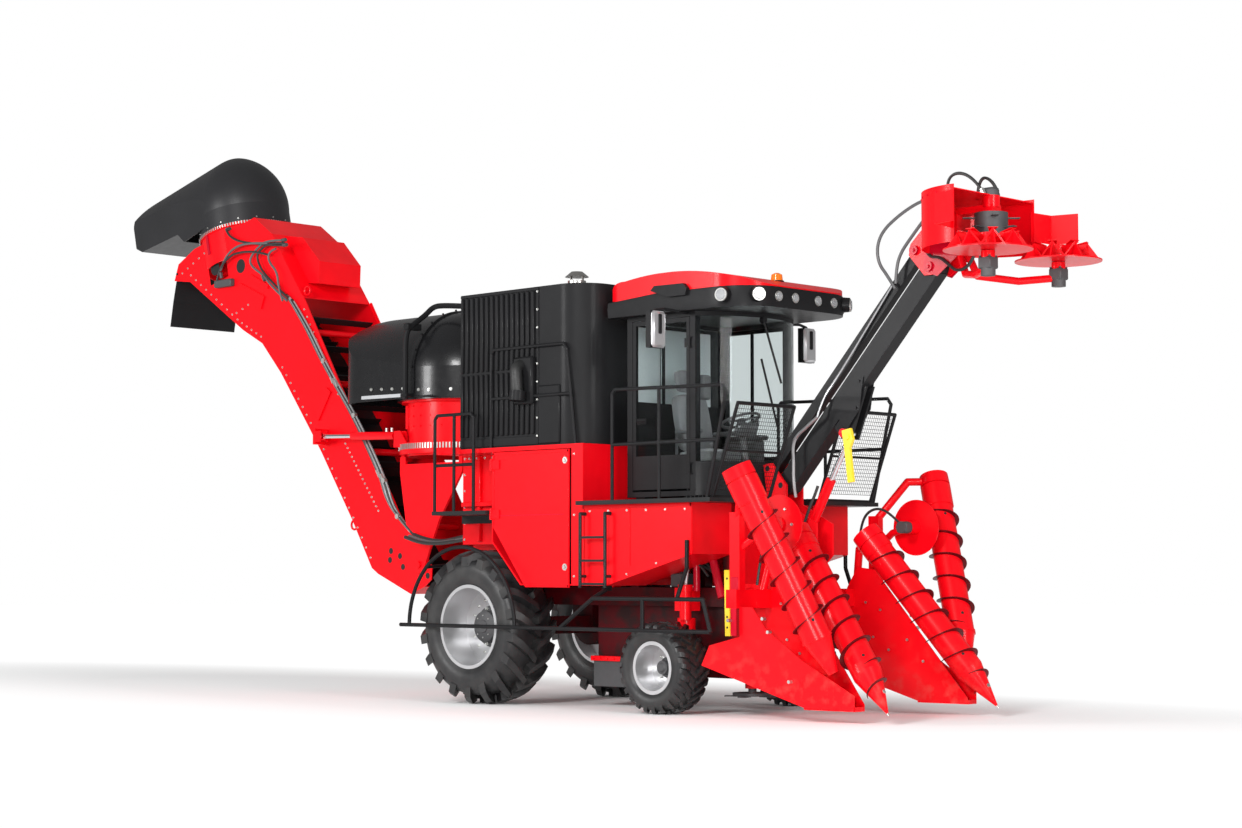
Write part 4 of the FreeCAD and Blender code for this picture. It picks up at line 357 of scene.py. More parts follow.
# half outlines of the carcasses, from bead to crown: radius and distance from the tyre's middle
REAR_PROFILE = (
    (0.408, 0.252), (0.432, 0.258), (0.462, 0.284), (0.52, 0.297), (0.58, 0.300), (0.63, 0.290),
    (0.668, 0.262), (0.690, 0.20), (0.698, 0.10), (0.700, 0.0),
)
FRONT_PROFILE = (
    (0.230, 0.155), (0.244, 0.160), (0.262, 0.182), (0.300, 0.198), (0.345, 0.202), (0.380, 0.192),
    (0.398, 0.168), (0.408, 0.10), (0.411, 0.0),
)
for side, sign in SIDES:
    hub = Vector(joints["rear_wheel_%s_spin" % side]["pos_m"])
    bm = bmesh.new()
    both = list(REAR_PROFILE) + [(radius, -across) for radius, across in reversed(REAR_PROFILE[:-1])]
    both += [(0.44, -0.20), (0.65, -0.22), (0.65, 0.22), (0.44, 0.20)]
    carcass(bm, hub, both, 96)
    for step in range(18):
        for half in (-1.0, 1.0):
            start = math.tau * (step + (0.25 if half > 0 else -0.25)) / 18
            tread_bar(bm, hub, start, -0.30, (half * -0.015, half * 0.299), (0.10, 0.784, 0.712), 0.078)
    tyre = piece("rear_lugged_tyre_" + side, bm, "rear_wheel_" + side, rubber, 50.0)
    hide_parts("rear_tyre_" + side)

    hub = Vector(joints["front_wheel_%s_spin" % side]["pos_m"])
    bm = bmesh.new()
    both = list(FRONT_PROFILE) + [(radius, -across) for radius, across in reversed(FRONT_PROFILE[:-1])]
    both += [(0.25, -0.12), (0.39, -0.14), (0.39, 0.14), (0.25, 0.12)]
    carcass(bm, hub, both, 72)
    for step in range(24):
        for half in (-1.0, 1.0):
            start = math.tau * (step + (0.25 if half > 0 else -0.25)) / 24
            tread_bar(bm, hub, start, -0.17, (half * 0.012, half * 0.10), (0.04, 0.4365, 0.434), 0.036)
            tread_bar(bm, hub, start - 0.20, -0.09, (half * 0.108, half * 0.197), (0.05, 0.434, 0.400), 0.042)
    tyre = piece("front_block_tyre_" + side, bm, "front_wheel_" + side, rubber, 50.0)
    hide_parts("front_tyre_" + side)


# ---------------------------------------------------------------- rims and hubs
# Pressed steel rims in silver enamel, bolted to dark cast hubs by a circle of nuts.
# The rear hubs are planetary drives with a stepped cover; the front ones have a small grease cap.
silver = Finish("silver_enamel", (0.56, 0.56, 0.57), 0.30, Metallic=0.7, Coat_Weight=0.2)
silver.put({"Roughness": silver.noise(4.0) * 0.14 + 0.24})
cast = Finish("cast_iron", (0.075, 0.075, 0.078), 0.62, Metallic=0.4)
cast.put({"Roughness": cast.noise(22.0, 4.0) * 0.25 + 0.48})
cast.bump(cast.noise(120.0, 3.0), 0.0012, 0.6)
zinc = Finish("plated_steel", (0.55, 0.55, 0.53), 0.34, Metallic=0.9)
zinc.put({"Roughness": zinc.noise(60.0) * 0.2 + 0.26})
coat_nodes(("rear_rim_right", "rear_rim_left", "front_rim_right", "front_rim_left"), silver)


def bolt_circle(bm, centre, axis, radius, count, size, height):
    """Adds hexagon heads with washers round a circle."""
    axis = Vector(axis).normalized()
    spoke = axis.orthogonal().normalized() * radius
    for step in range(count):
        place = Vector(centre) + Matrix.Rotation(math.tau * step / count, 3, axis) @ spoke
        stud(bm, place, axis, size * 1.25, height * 0.25, segments=14)
        stud(bm, place, axis, size, height, segments=6)


for side, sign in SIDES:
    hub = Vector(joints["rear_wheel_%s_spin" % side]["pos_m"])
    out = Vector((0.0, sign, 0.0))
    face = hub + out * -0.061
    bm = bmesh.new()
    stud(bm, face + out * 0.001, out, 0.215, 0.022, 0.205, 48)
    stud(bm, face + out * 0.02, out, 0.165, 0.085, 0.158, 48)
    stud(bm, face + out * 0.104, out, 0.158, 0.02, 0.125, 48)
    stud(bm, face + out * 0.122, out, 0.07, 0.012, 0.062, 32)
    piece("rear_hub_" + side, bm, "rear_wheel_" + side, cast)
    bm = bmesh.new()
    bolt_circle(bm, face + out * 0.02, out, 0.188, 12, 0.014, 0.022)
    bolt_circle(bm, face + out * 0.118, out, 0.112, 8, 0.008, 0.010)
    bolt_circle(bm, face + out * 0.0, out, 0.285, 16, 0.011, 0.014)
    piece("rear_wheel_nuts_" + side, bm, "rear_wheel_" + side, zinc)

    hub = Vector(joints["front_wheel_%s_spin" % side]["pos_m"])
    face = hub + out * -0.061
    bm = bmesh.new()
    stud(bm, face, out, 0.105, 0.02, 0.098, 40)
    stud(bm, face + out * 0.02, out, 0.074, 0.075, 0.066, 40)
    stud(bm, face + out * 0.094, out, 0.05, 0.016, 0.032, 32)
    piece("front_hub_" + side, bm, "front_wheel_" + side, cast)
    bm = bmesh.new()
    bolt_circle(bm, face + out * 0.002, out, 0.135, 8, 0.011, 0.02)
    piece("front_wheel_nuts_" + side, bm, "front_wheel_" + side, zinc)


# ---------------------------------------------------------------- body panels
# The engine bay has plain folded doors, each closed by two round slam latches near its front edge.
# Tanks and rear housing are flat plate with folded seams, and everything is held by zinc-plated bolts.
def line_of_bolts(bm, start, end, axis, count, size=0.011, height=0.010):
    """Adds a straight row of hexagon heads."""
    start, end = Vector(start), Vector(end)
    for step in range(count):
        place = start.lerp(end, step / max(count - 1, 1))
        stud(bm, place, axis, size * 1.3, height * 0.3, segments=12)
        stud(bm, place, axis, size, height, segments=6)


DOOR_FACE, HOUSING_FACE = 1.150, 0.750
for side, sign in SIDES:
    out = Vector((0.0, sign, 0.0))
    bm = bmesh.new()
    for z in (1.39, 2.44):
        stud(bm, at(1.355, sign * (DOOR_FACE - 0.001), z), out, 0.036, 0.010, 0.033, 32)
        stud(bm, at(1.355, sign * (DOOR_FACE + 0.008), z), out, 0.018, 0.012, 0.014, 24)
    piece("door_latches_" + side, bm, "engine_door_" + side, zinc)
    bm = bmesh.new()
    for low, high in (
        ((0.300, 2.520), (1.405, 2.545)), ((1.385, 1.195), (1.408, 2.545)), ((0.300, 1.81), (0.322, 2.545)),
        ((0.800, 1.195), (1.405, 1.215)),
    ):
        near, far = sorted((sign * (DOOR_FACE - 0.002), sign * (DOOR_FACE + 0.006)))
        block(bm, at(low[0], near, low[1]), at(high[0], far, high[1]), 0.002)
    piece("door_folds_" + side, bm, "engine_door_" + side, red)
    # A thin line of the shade-darkened red runs across each door: painted shade.
    bm = bmesh.new()
    near, far = sorted((sign * (DOOR_FACE - 0.002), sign * (DOOR_FACE + 0.0015)))
    block(bm, at(0.36, near, 1.905), at(1.34, far, 1.913), 0.0)
    piece("door_stripe_" + side, bm, "engine_door_" + side, shaded_red)

    bm = bmesh.new()
    near, far = sorted((sign * (DOOR_FACE - 0.002), sign * (DOOR_FACE + 0.007)))
    block(bm, at(1.605, near, 1.955), at(3.045, far, 1.985), 0.002)
    block(bm, at(1.605, near, 1.215), at(1.625, far, 1.985), 0.002)
    block(bm, at(3.025, near, 1.52), at(3.045, far, 1.985), 0.002)
    block(bm, at(2.235, near, 1.40), at(2.247, far, 1.955), 0.002)
    piece("tank_seams_" + side, bm, "root", red)
    bm = bmesh.new()
    for y, start, end, count, size in (
        (DOOR_FACE, (1.70, 1.930), (2.96, 1.930), 6, 0.009),
        (DOOR_FACE, (2.20, 1.322), (2.98, 1.527), 3, 0.008),
        (1.138, (1.47, 1.30), (1.47, 2.50), 3, 0.009),
        (HOUSING_FACE, (-0.57, 1.68), (-0.57, 2.53), 6, 0.009),
        (HOUSING_FACE, (-0.50, 2.53), (0.22, 2.53), 7, 0.011),
    ):
        first, last = at(start[0], sign * y, start[1]), at(end[0], sign * y, end[1])
        line_of_bolts(bm, first, last, out, count, size)
    piece("body_bolts_" + side, bm, "root", zinc)

# Upright ribs and one long stiffener break up the housing between the rear tyres.
bm = bmesh.new()
for sign in (-1.0, 1.0):
    for x in (-0.35, -0.05, 0.20):
        near, far = sorted((sign * (HOUSING_FACE - 0.002), sign * (HOUSING_FACE + 0.035)))
        block(bm, at(x, near, 1.66), at(x + 0.05, far, 2.55), 0.006)
    near, far = sorted((sign * (HOUSING_FACE - 0.002), sign * (HOUSING_FACE + 0.050)))
    block(bm, at(-0.58, near, 2.02), at(0.27, far, 2.07), 0.008)
piece("housing_ribs", bm, "root", red)


# ---------------------------------------------------------------- cooling pack cover
# The black cover over the radiators is ribbed sheet at its rear half, with a smooth rolled corner in front.
# The ribs break at a seam at mid height. An air intake bends down its side, and an exhaust stands on top.
black = paint("black_enamel", (0.012, 0.012, 0.013), 0.45, 0.03, dust=0.2)
coat_nodes(("engine_enclosure", "platform_rails", "wheel_guards", "cab_frame", "cab_door"), black)
COVER_FACE = 1.100
bm = bmesh.new()
for sign in (-1.0, 1.0):
    near, far = sorted((sign * (COVER_FACE - 0.002), sign * (COVER_FACE + 0.024)))
    for step in range(15):
        x = -0.235 + step * 0.076
        for low, high in ((2.72, 3.36), (3.385, 4.16)):
            block(bm, at(x, near, low), at(x + 0.040, far, high), 0.009)
for step in range(24):
    y = -1.02 + step * 0.0865
    block(bm, at(-0.272, y, 2.72), at(-0.248, y + 0.046, 4.16), 0.009)
piece("cover_ribs", bm, "root", black)

bm = bmesh.new()
for sign in (-1.0, 1.0):
    near, far = sorted((sign * (COVER_FACE - 0.002), sign * (COVER_FACE + 0.010)))
    block(bm, at(-0.25, near, 2.615), at(0.905, far, 2.70), 0.004)
    block(bm, at(0.900, near, 2.615), at(0.925, far, 4.19), 0.004)
    block(bm, at(-0.25, near, 4.165), at(0.905, far, 4.195), 0.004)
    near, far = sorted((sign * (COVER_FACE - 0.002), sign * (COVER_FACE + 0.016)))
    block(bm, at(0.93, near, 2.615), at(1.235, far, 3.20), 0.012)
piece("cover_frames", bm, "root", black)

bm = bmesh.new()
for sign in (-1.0, 1.0):
    y = sign * (COVER_FACE + 0.010)
    line_of_bolts(bm, at(0.912, y, 2.70), at(0.912, y, 4.15), (0, sign, 0), 9, 0.009)
piece("cover_bolts", bm, "root", zinc)

# A pale crinkled panel, in two parts, covers the wall that faces the cab's rear window; its pale colour is
# painted light, standing in for the brightness seen through the cab's windows.
window_light_panel = Finish("painted_window_light", (0.80, 0.81, 0.82), 0.55, Specular_IOR_Level=0.3)
window_light_panel.bump(window_light_panel.noise(14.0), 0.01, 0.5)
bm = bmesh.new()
for low_y, high_y in ((-0.43, -0.02), (0.0, 0.74)):
    block(bm, at(1.552, low_y, 2.98), at(1.575, high_y, 3.80), 0.006)
piece("cab_window_light_panel", bm, "root", window_light_panel)

# Air intake: a bent rubber elbow that comes out of the cover beside the ribs, with its plate and collar.
hose_rubber = Finish("hose_rubber", (0.016, 0.016, 0.016), 0.5)
hose_rubber.put({"Roughness": hose_rubber.noise(40.0) * 0.25 + 0.38})


def bent_tube(name, places, radius, body, finish, sides=12, order=3, steps=10):
    """Round tube or hose along a smooth line that passes near the places."""
    line = bpy.data.curves.new(name, "CURVE")
    line.dimensions = "3D"
    spline = line.splines.new("NURBS")
    spline.points.add(len(places) - 1)
    for point, place in zip(spline.points, places):
        point.co = (*place, 1.0)
    spline.order_u = order
    spline.use_endpoint_u = True
    line.resolution_u = steps
    line.bevel_depth = radius
    line.bevel_resolution = max(1, sides // 4 - 1)
    line.use_fill_caps = True
    holder = bpy.data.objects.new(name + "_line", line)
    scene.collection.objects.link(holder)
    bpy.context.view_layer.update()
    finished = holder.evaluated_get(bpy.context.evaluated_depsgraph_get())
    mesh = bpy.data.meshes.new_from_object(finished)
    bpy.data.objects.remove(holder)
    bm = bmesh.new()
    bm.from_mesh(mesh)
    bpy.data.meshes.remove(mesh)
    return piece(name, bm, body, finish)


elbow = (at(0.70, -1.08, 3.42), at(0.70, -1.20, 3.42), at(0.74, -1.24, 3.30), at(0.74, -1.22, 3.12))
bent_tube("intake_elbow", elbow, 0.06, "root", hose_rubber, 20)
bm = bmesh.new()
block(bm, at(0.60, -1.16, 3.02), at(0.88, -1.095, 3.50), 0.02)
stud(bm, at(0.74, -1.225, 3.05), (0, 0.1, 1), 0.085, 0.10, 0.085, 24)
piece("intake_plate", bm, "root", black)

exhaust = Finish("exhaust_steel", (0.5, 0.49, 0.47), 0.3, Metallic=1.0)
heat = exhaust.step(exhaust.noise(6.0), 0.35, 0.75)
exhaust.put({"Base Color": exhaust.blend(heat, (0.45, 0.43, 0.4, 1.0), (0.62, 0.61, 0.6, 1.0))})
coat_nodes(("exhaust_stack",), exhaust)


# ---------------------------------------------------------------- decks, rails and guard meshes
# Walkways are black tread plate, with bent tube rails. The panels that guard the cab's front from cane are
# woven wire welded into the raked frames, and flat bars make the grille below.
tread = paint("black_tread_plate", (0.02, 0.02, 0.021), 0.42, 0.15, dust=0.6)
checker = tread.node("ShaderNodeTexChecker", {}, {"Vector": tread.place(), "Scale": 26.0}, 1)
tread.bump(checker, 0.003, 0.8)
coat_nodes(("platform_decks",), tread)


def wire_panel(bm, corners, across, upward, thickness):
    """Adds a flat wire screen between four corners, with that many wires each way."""
    a, b, c, d = corners
    for step in range(across + 1):
        t = step / across
        start, end = a.lerp(b, t), d.lerp(c, t)
        stud(bm, start, end - start, thickness, (end - start).length, segments=4)
    for step in range(upward + 1):
        t = step / upward
        start, end = a.lerp(d, t), b.lerp(c, t)
        stud(bm, start, end - start, thickness, (end - start).length, segments=4)


DECK_TOP, RAIL_FOOT, RAIL_LEAN = 2.030, 3.320, 0.320 / 0.860
SCREEN_LOW, SCREEN_HIGH, SCREEN_INNER, SCREEN_OUTER = 2.100, 2.875, 0.383, 1.155
for side, sign in SIDES:
    bm = bmesh.new()
    corners = []
    for y, z in ((SCREEN_OUTER, SCREEN_LOW), (SCREEN_INNER, SCREEN_LOW), (SCREEN_INNER, SCREEN_HIGH),
                 (SCREEN_OUTER, SCREEN_HIGH)):
        corners.append(at(RAIL_FOOT + RAIL_LEAN * (z - DECK_TOP), sign * y, z))
    wire_panel(bm, corners, 26, 22, 0.0022)
    piece("guard_screen_" + side, bm, "root", black)
bm = bmesh.new()
for sign in (-1.0, 1.0):
    for step in range(7):
        x = 3.02 + step * 0.05
        near, far = sorted((sign * 0.36, sign * 1.20))
        block(bm, at(x, near, DECK_TOP - 0.002), at(x + 0.012, far, DECK_TOP + 0.022), 0.002)
piece("deck_grilles", bm, "root", black)


# ---------------------------------------------------------------- cab glass and frame
# Faintly tinted safety glass fills the cab's windows, and the windscreen is bowed to the front.
# Black rubber frames the fixed panes on the left, one long wiper is parked across the windscreen, and flat
# black bars stand behind the rear window.
glass = Finish("cab_glass", (0.90, 0.95, 0.95), 0.02, Transmission_Weight=1.0, IOR=1.15)
coat_nodes(("cab_glass", "cab_door_glass"), glass)

bm = bmesh.new()
for low, high in (
    ((1.80, 2.50), (1.845, 3.80)), ((2.155, 2.13), (2.185, 3.80)), ((1.80, 3.76), (2.68, 3.815)),
    ((1.80, 2.09), (2.68, 2.14)),
):
    block(bm, at(low[0], 0.700, low[1]), at(high[0], 0.728, high[1]), 0.004)
for y in (-0.66, -0.22, 0.22, 0.62):
    block(bm, at(1.782, y, 3.00), at(1.796, y + 0.04, 3.82), 0.003)
piece("window_rubbers", bm, "root", black)

bm = bmesh.new()
stud(bm, at(3.035, -0.10, 3.76), (0.15, 0.25, -1.0), 0.011, 0.62)
block(bm, at(3.028, -0.03, 2.70), at(3.040, -0.005, 3.42), 0.003, Matrix.Rotation(0.35, 3, "X"))
stud(bm, at(3.00, -0.10, 3.78), (1, 0, 0), 0.030, 0.05)
piece("wiper", bm, "root", black)

bm = bmesh.new()
block(bm, at(1.93, -0.735, 2.78), at(2.06, -0.722, 2.84), 0.006)
stud(bm, at(1.95, -0.755, 2.81), (1, 0, 0), 0.011, 0.13)
piece("door_handle", bm, "cab_door", black)


# ---------------------------------------------------------------- cab roof, lamps and beacon
# The roof is a moulded red cap over a black visor that runs back along both sides and carries the work lamps.
# Two hooded lamps sit at each front corner and four small ones face forwards, under an amber beacon.
coat_nodes(("cab_roof",), red)
lens = Finish("lamp_lens", (0.55, 0.56, 0.58), 0.12, Transmission_Weight=0.6, IOR=1.4)
mirror = Finish("mirror_glass", (0.85, 0.87, 0.9), 0.04, Metallic=1.0)
amber = Finish("amber_lens", (0.9, 0.20, 0.01), 0.2, Transmission_Weight=0.25, Emission_Strength=0.15)
amber.put({"Emission Color": (0.9, 0.2, 0.01, 1.0)})
VISOR_LOW, VISOR_HIGH = 3.865, 4.035
ROOF_FRONT, ROOF_SIDE, ROOF_ROUND = 3.48, 0.83, 0.43


def roof_edge(distance):
    """Place and outward direction on the roof's outline, measured from the middle of its front."""
    flat = ROOF_SIDE - ROOF_ROUND
    sign = math.copysign(1.0, distance)
    run = abs(distance)
    if run <= flat:
        return Vector((ROOF_FRONT, sign * run, 0.0)), Vector((1.0, 0.0, 0.0))
    turn = (run - flat) / ROOF_ROUND
    if turn <= math.pi / 2:
        out = Vector((math.cos(turn), sign * math.sin(turn), 0.0))
        return Vector((ROOF_FRONT - ROOF_ROUND, sign * flat, 0.0)) + out * ROOF_ROUND, out
    rest = run - flat - ROOF_ROUND * math.pi / 2
    return Vector((ROOF_FRONT - ROOF_ROUND - rest, sign * ROOF_SIDE, 0.0)), Vector((0.0, sign, 0.0))


bm = bmesh.new()
steps = 96
rows = []
for height, proud in (
    (VISOR_LOW - 0.024, -0.03), (VISOR_LOW - 0.022, 0.006), (3.93, 0.014), (VISOR_HIGH, 0.008),
    (VISOR_HIGH + 0.012, -0.01),
):
    row = []
    for step in range(steps + 1):
        edge, out = roof_edge(-2.49 + 4.98 * step / steps)
        drop = max(0.0, 2.3 - edge.x) * 0.07 if height > 4.0 else 0.0
        row.append(bm.verts.new(at(*(edge + out * proud)) + Vector((0.0, 0.0, height - drop))))
    if not rows:
        bm.faces.new([bm.verts.new(vert.co) for vert in row])
    rows.append([bm.edges.new(pair) for pair in zip(row, row[1:])])
for lower, upper in zip(rows, rows[1:]):
    bmesh.ops.bridge_loops(bm, edges=lower + upper)
piece("roof_visor", bm, "root", black, 30.0)

hoods_bm, bodies_bm, lens_bm = bmesh.new(), bmesh.new(), bmesh.new()
for sign in (-1.0, 1.0):
    for distance, size in ((0.17, 0.046), (0.41, 0.046), (0.65, 0.060), (0.96, 0.060)):
        edge, out = roof_edge(sign * distance)
        centre = at(*edge) + Vector((0.0, 0.0, 3.948)) + out * 0.004
        if size > 0.05:
            stud(hoods_bm, centre + Vector((0, 0, 0.006)), out, 0.076, 0.075, 0.070, 32)
            centre = centre + out * 0.070
        stud(bodies_bm, centre, out, size + 0.006, 0.014, size + 0.002, 32)
        stud(lens_bm, centre + out * 0.004, out, size - 0.004, 0.018, size - 0.014, 32)
piece("lamp_hoods", hoods_bm, "root", black)
piece("lamp_bezels", bodies_bm, "root", zinc)
piece("lamp_lenses", lens_bm, "root", lens)

bm = bmesh.new()
stud(bm, at(3.20, -0.10, 4.10), (0, 0, 1), 0.075, 0.045, 0.07, 32)
piece("beacon_base", bm, "root", black)
bm = bmesh.new()
stud(bm, at(3.20, -0.10, 4.143), (0, 0, 1), 0.060, 0.062, 0.052, 32)
stud(bm, at(3.20, -0.10, 4.205), (0, 0, 1), 0.052, 0.016, 0.020, 32)
piece("beacon_lens", bm, "root", amber)

# Mirror glasses look back along the machine from rounded silver shells, clamped to their posts in front.
MIRROR_Y = 1.12
for name, low, high, half, rounding, finish, slot in (
    ("mirror_glasses", (2.506, 3.485), (2.516, 3.805), 0.082, 0.004, mirror, "chrome"),
    ("mirror_backs", (2.566, 3.47), (2.612, 3.82), 0.094, 0.026, silver, "silver_paint"),
    ("mirror_clamps", (2.606, 3.60), (2.626, 3.79), 0.022, 0.008, black, "black_paint"),
):
    bm = bmesh.new()
    for middle in (-MIRROR_Y, MIRROR_Y):
        block(bm, at(low[0], middle - half, low[1]), at(high[0], middle + half, high[1]), rounding)
    piece(name, bm, "root", finish)


# ---------------------------------------------------------------- cab inside
# A seat with a crowned cushion, back and headrest in grey cloth, an armrest on each side, a console at its
# left with one joystick, and a leaning column with a thin wheel and a small dash in front.
cloth = Finish("seat_cloth", (0.16, 0.16, 0.17), 0.9, Sheen_Weight=0.3)
weave = cloth.node(
    "ShaderNodeTexWave", {"wave_type": "BANDS", "bands_direction": "DIAGONAL"},
    {"Vector": cloth.place(), "Scale": 160.0, "Distortion": 1.5}, 1,
)
cloth.put({"Base Color": cloth.blend(weave, (0.13, 0.13, 0.14, 1.0), (0.20, 0.20, 0.21, 1.0))})
cloth.bump(weave, 0.0008, 0.5)
trim = Finish("cab_trim", (0.10, 0.10, 0.105), 0.6)
trim.bump(trim.noise(300.0, 2.0), 0.0005, 0.5)


def cushion(name, low, high, turn=None, crown=0.030):
    """Crowned pad with pulled-in edges, made from a subdivided block."""
    bm = bmesh.new()
    bmesh.ops.create_cube(bm, size=2.0)
    bmesh.ops.subdivide_edges(bm, edges=bm.edges[:], cuts=5, use_grid_fill=True)
    size = (Vector(high) - Vector(low)) / 2
    thin = min(range(3), key=lambda index: size[index])
    for vert in bm.verts:
        flat = [vert.co[index] for index in range(3) if index != thin]
        swell = (1.0 - flat[0] ** 2) * (1.0 - flat[1] ** 2)
        grown = vert.co.copy()
        for index in range(3):
            grown[index] *= size[index]
            if index != thin:
                grown[index] *= 1.0 - 0.05 * abs(flat[0] * flat[1])
        grown[thin] += math.copysign(crown * swell, grown[thin]) - grown[thin] * 0.18 * (1.0 - swell)
        vert.co = grown
    bmesh.ops.smooth_vert(bm, verts=bm.verts, factor=0.5, use_axis_x=True, use_axis_y=True, use_axis_z=True)
    if turn:
        bmesh.ops.rotate(bm, cent=(0, 0, 0), matrix=turn, verts=bm.verts)
    bmesh.ops.translate(bm, vec=(Vector(low) + Vector(high)) / 2, verts=bm.verts)
    pad = piece(name, bm, "root", cloth, 80.0)
    rounding = pad.modifiers.new("rounding", "SUBSURF")
    rounding.levels = rounding.render_levels = 1


lean = Matrix.Rotation(math.radians(-12.0), 3, "Y")
cushion("seat_cushion", at(2.00, -0.25, 2.42), at(2.48, 0.25, 2.54))
cushion("seat_back", at(1.94, -0.235, 2.53), at(2.06, 0.235, 3.12), lean)
cushion("seat_headrest", at(1.87, -0.14, 3.14), at(1.96, 0.14, 3.36), lean, 0.015)
bm = bmesh.new()
block(bm, at(2.06, -0.17, 2.121), at(2.40, 0.17, 2.20), 0.02)
block(bm, at(2.10, -0.14, 2.20), at(2.36, 0.14, 2.40), 0.03)
block(bm, at(2.03, -0.22, 2.385), at(2.44, 0.22, 2.425), 0.012)
for y in (-0.30, 0.26):
    block(bm, at(2.02, y, 2.70), at(2.38, y + 0.05, 2.745), 0.015)
    stud(bm, at(2.04, y + 0.025, 2.48), (0, 0, 1), 0.014, 0.23)
block(bm, at(2.10, 0.335, 2.121), at(2.56, 0.475, 2.66), 0.03)
block(bm, at(2.16, 0.325, 2.65), at(2.60, 0.485, 2.70), 0.02)
stud(bm, at(2.50, 0.38, 2.69), (0.1, 0, 1), 0.012, 0.12)
stud(bm, at(2.512, 0.38, 2.79), (0.1, 0, 1), 0.026, 0.09, 0.02)
block(bm, at(2.70, -0.08, 2.121), at(2.80, 0.08, 2.24), 0.02)
stud(bm, at(2.75, 0.0, 2.20), (-0.11, 0, 0.6), 0.032, 0.60)
block(bm, at(2.66, -0.14, 2.66), at(2.76, 0.14, 2.80), 0.03, Matrix.Rotation(0.5, 3, "Y"))
block(bm, at(2.60, -0.60, 3.00), at(2.68, -0.46, 3.24), 0.02)
controls = piece("cab_controls", bm, "root", trim)
wheel_turn = Vector((-0.35, 0, 1)).to_track_quat("Z", "Y").to_matrix()
bm = bmesh.new()
ring = bmesh.ops.create_circle(bm, segments=10, radius=0.014)["verts"]
bmesh.ops.rotate(bm, cent=(0, 0, 0), matrix=Matrix.Rotation(math.pi / 2, 3, "X"), verts=ring)
bmesh.ops.translate(bm, vec=(0.19, 0, 0), verts=ring)
bmesh.ops.spin(
    bm, geom=bm.verts[:] + bm.edges[:], cent=(0, 0, 0), axis=(0, 0, 1), angle=math.tau, steps=40,
    use_merge=True,
)
for turn in (0.0, 2.1, 4.2):
    stud(bm, (0, 0, 0), (math.cos(turn), math.sin(turn), -0.1), 0.011, 0.185)
stud(bm, (0, 0, -0.04), (0, 0, 1), 0.045, 0.05)
bmesh.ops.rotate(bm, cent=(0, 0, 0), matrix=wheel_turn, verts=bm.verts)
bmesh.ops.translate(bm, vec=at(2.64, 0.0, 2.825), verts=bm.verts)
piece("steering_wheel", bm, "root", trim)
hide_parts("cab_interior")


# ---------------------------------------------------------------- main extractor
# Leaves are blown out through a smooth moulded black hood that turns on a ring over the fan housing.
# A seam band crosses it, bolts run round its foot, and a bent black tube is carried over its right side.
gloss = paint("black_gloss", (0.010, 0.010, 0.011), 0.26, 0.15, dust=0.1, specular=0.3)
coat_nodes(("main_hood",), gloss)
coat_nodes(("main_fan",), black)
SLEW, FAN_HOUSING = -1.350, 0.680  # the fan's place along the machine and its housing's radius


def tag(bm, corners, thickness, out):
    """Adds a flat plate with the given outline, raised off the surface it lies on."""
    lift = Vector(out).normalized() * thickness
    lower = [bm.verts.new(corner) for corner in corners]
    upper = [bm.verts.new(Vector(corner) + lift) for corner in corners]
    bm.faces.new(lower)
    bm.faces.new(list(reversed(upper)))
    for step in range(len(corners)):
        other = (step + 1) % len(corners)
        bm.faces.new((lower[step], upper[step], upper[other], lower[other]))


def hood_arch(count, offset):
    """Half outline of the hood from its foot to its crown, as distances from the middle and heights.

    It is straight up to the shoulder, and then one arc over the crown.
    """
    centre, reach = Vector((0.0679, 3.4662)), 0.7270 + offset
    first = math.atan2(3.55 - centre.y, 0.79 - centre.x)
    last = math.atan2(4.19 - centre.y, -centre.x)
    bend = [(0.79 + offset, 3.26)]
    for step in range(count + 1):
        turn = first + (last - first) * step / count
        bend.append((max(0.0, centre.x + reach * math.cos(turn)), centre.y + reach * math.sin(turn)))
    return bend


bm = bmesh.new()
for side in (-1.0, 1.0):
    tag(bm, [
        at(2.250, side * 0.832, 4.060), at(2.300, side * 0.832, 4.105), at(2.680, side * 0.832, 4.100),
        at(2.730, side * 0.832, 4.050), at(2.710, side * 0.832, 3.985), at(2.480, side * 0.832, 3.985),
    ], 0.045, (0, side, 0))
piece("roof_brackets", bm, "root", black)

bm = bmesh.new()
rings = []
for offset in (-0.006, 0.020):
    half = hood_arch(18, offset)
    whole = [(-y, z) for y, z in half] + [(y, z) for y, z in reversed(half[:-1])]
    for x in (SLEW - 0.022, SLEW + 0.008):
        rings.append([bm.verts.new(at(x, y, z)) for y, z in whole])
for a, b in ((0, 1), (1, 3), (3, 2), (2, 0)):
    for step in range(len(rings[0]) - 1):
        bm.faces.new((rings[a][step], rings[a][step + 1], rings[b][step + 1], rings[b][step]))
for end in (0, -1):
    bm.faces.new((rings[0][end], rings[1][end], rings[3][end], rings[2][end]))
for y, z in hood_arch(6, 0.020)[1:]:
    for side in (-1.0, 1.0):
        stud(bm, at(SLEW - 0.007, side * y, z - 0.003), (0, side * y, z - 3.4), 0.012, 0.020, segments=6)
for side in (-1.0, 1.0):
    near, far = sorted((side * 0.786, side * 0.800))
    block(bm, at(SLEW, near, 3.216), at(SLEW + 0.30, far, 3.236), 0.003)
piece("hood_seam_band", bm, "main_hood", gloss)

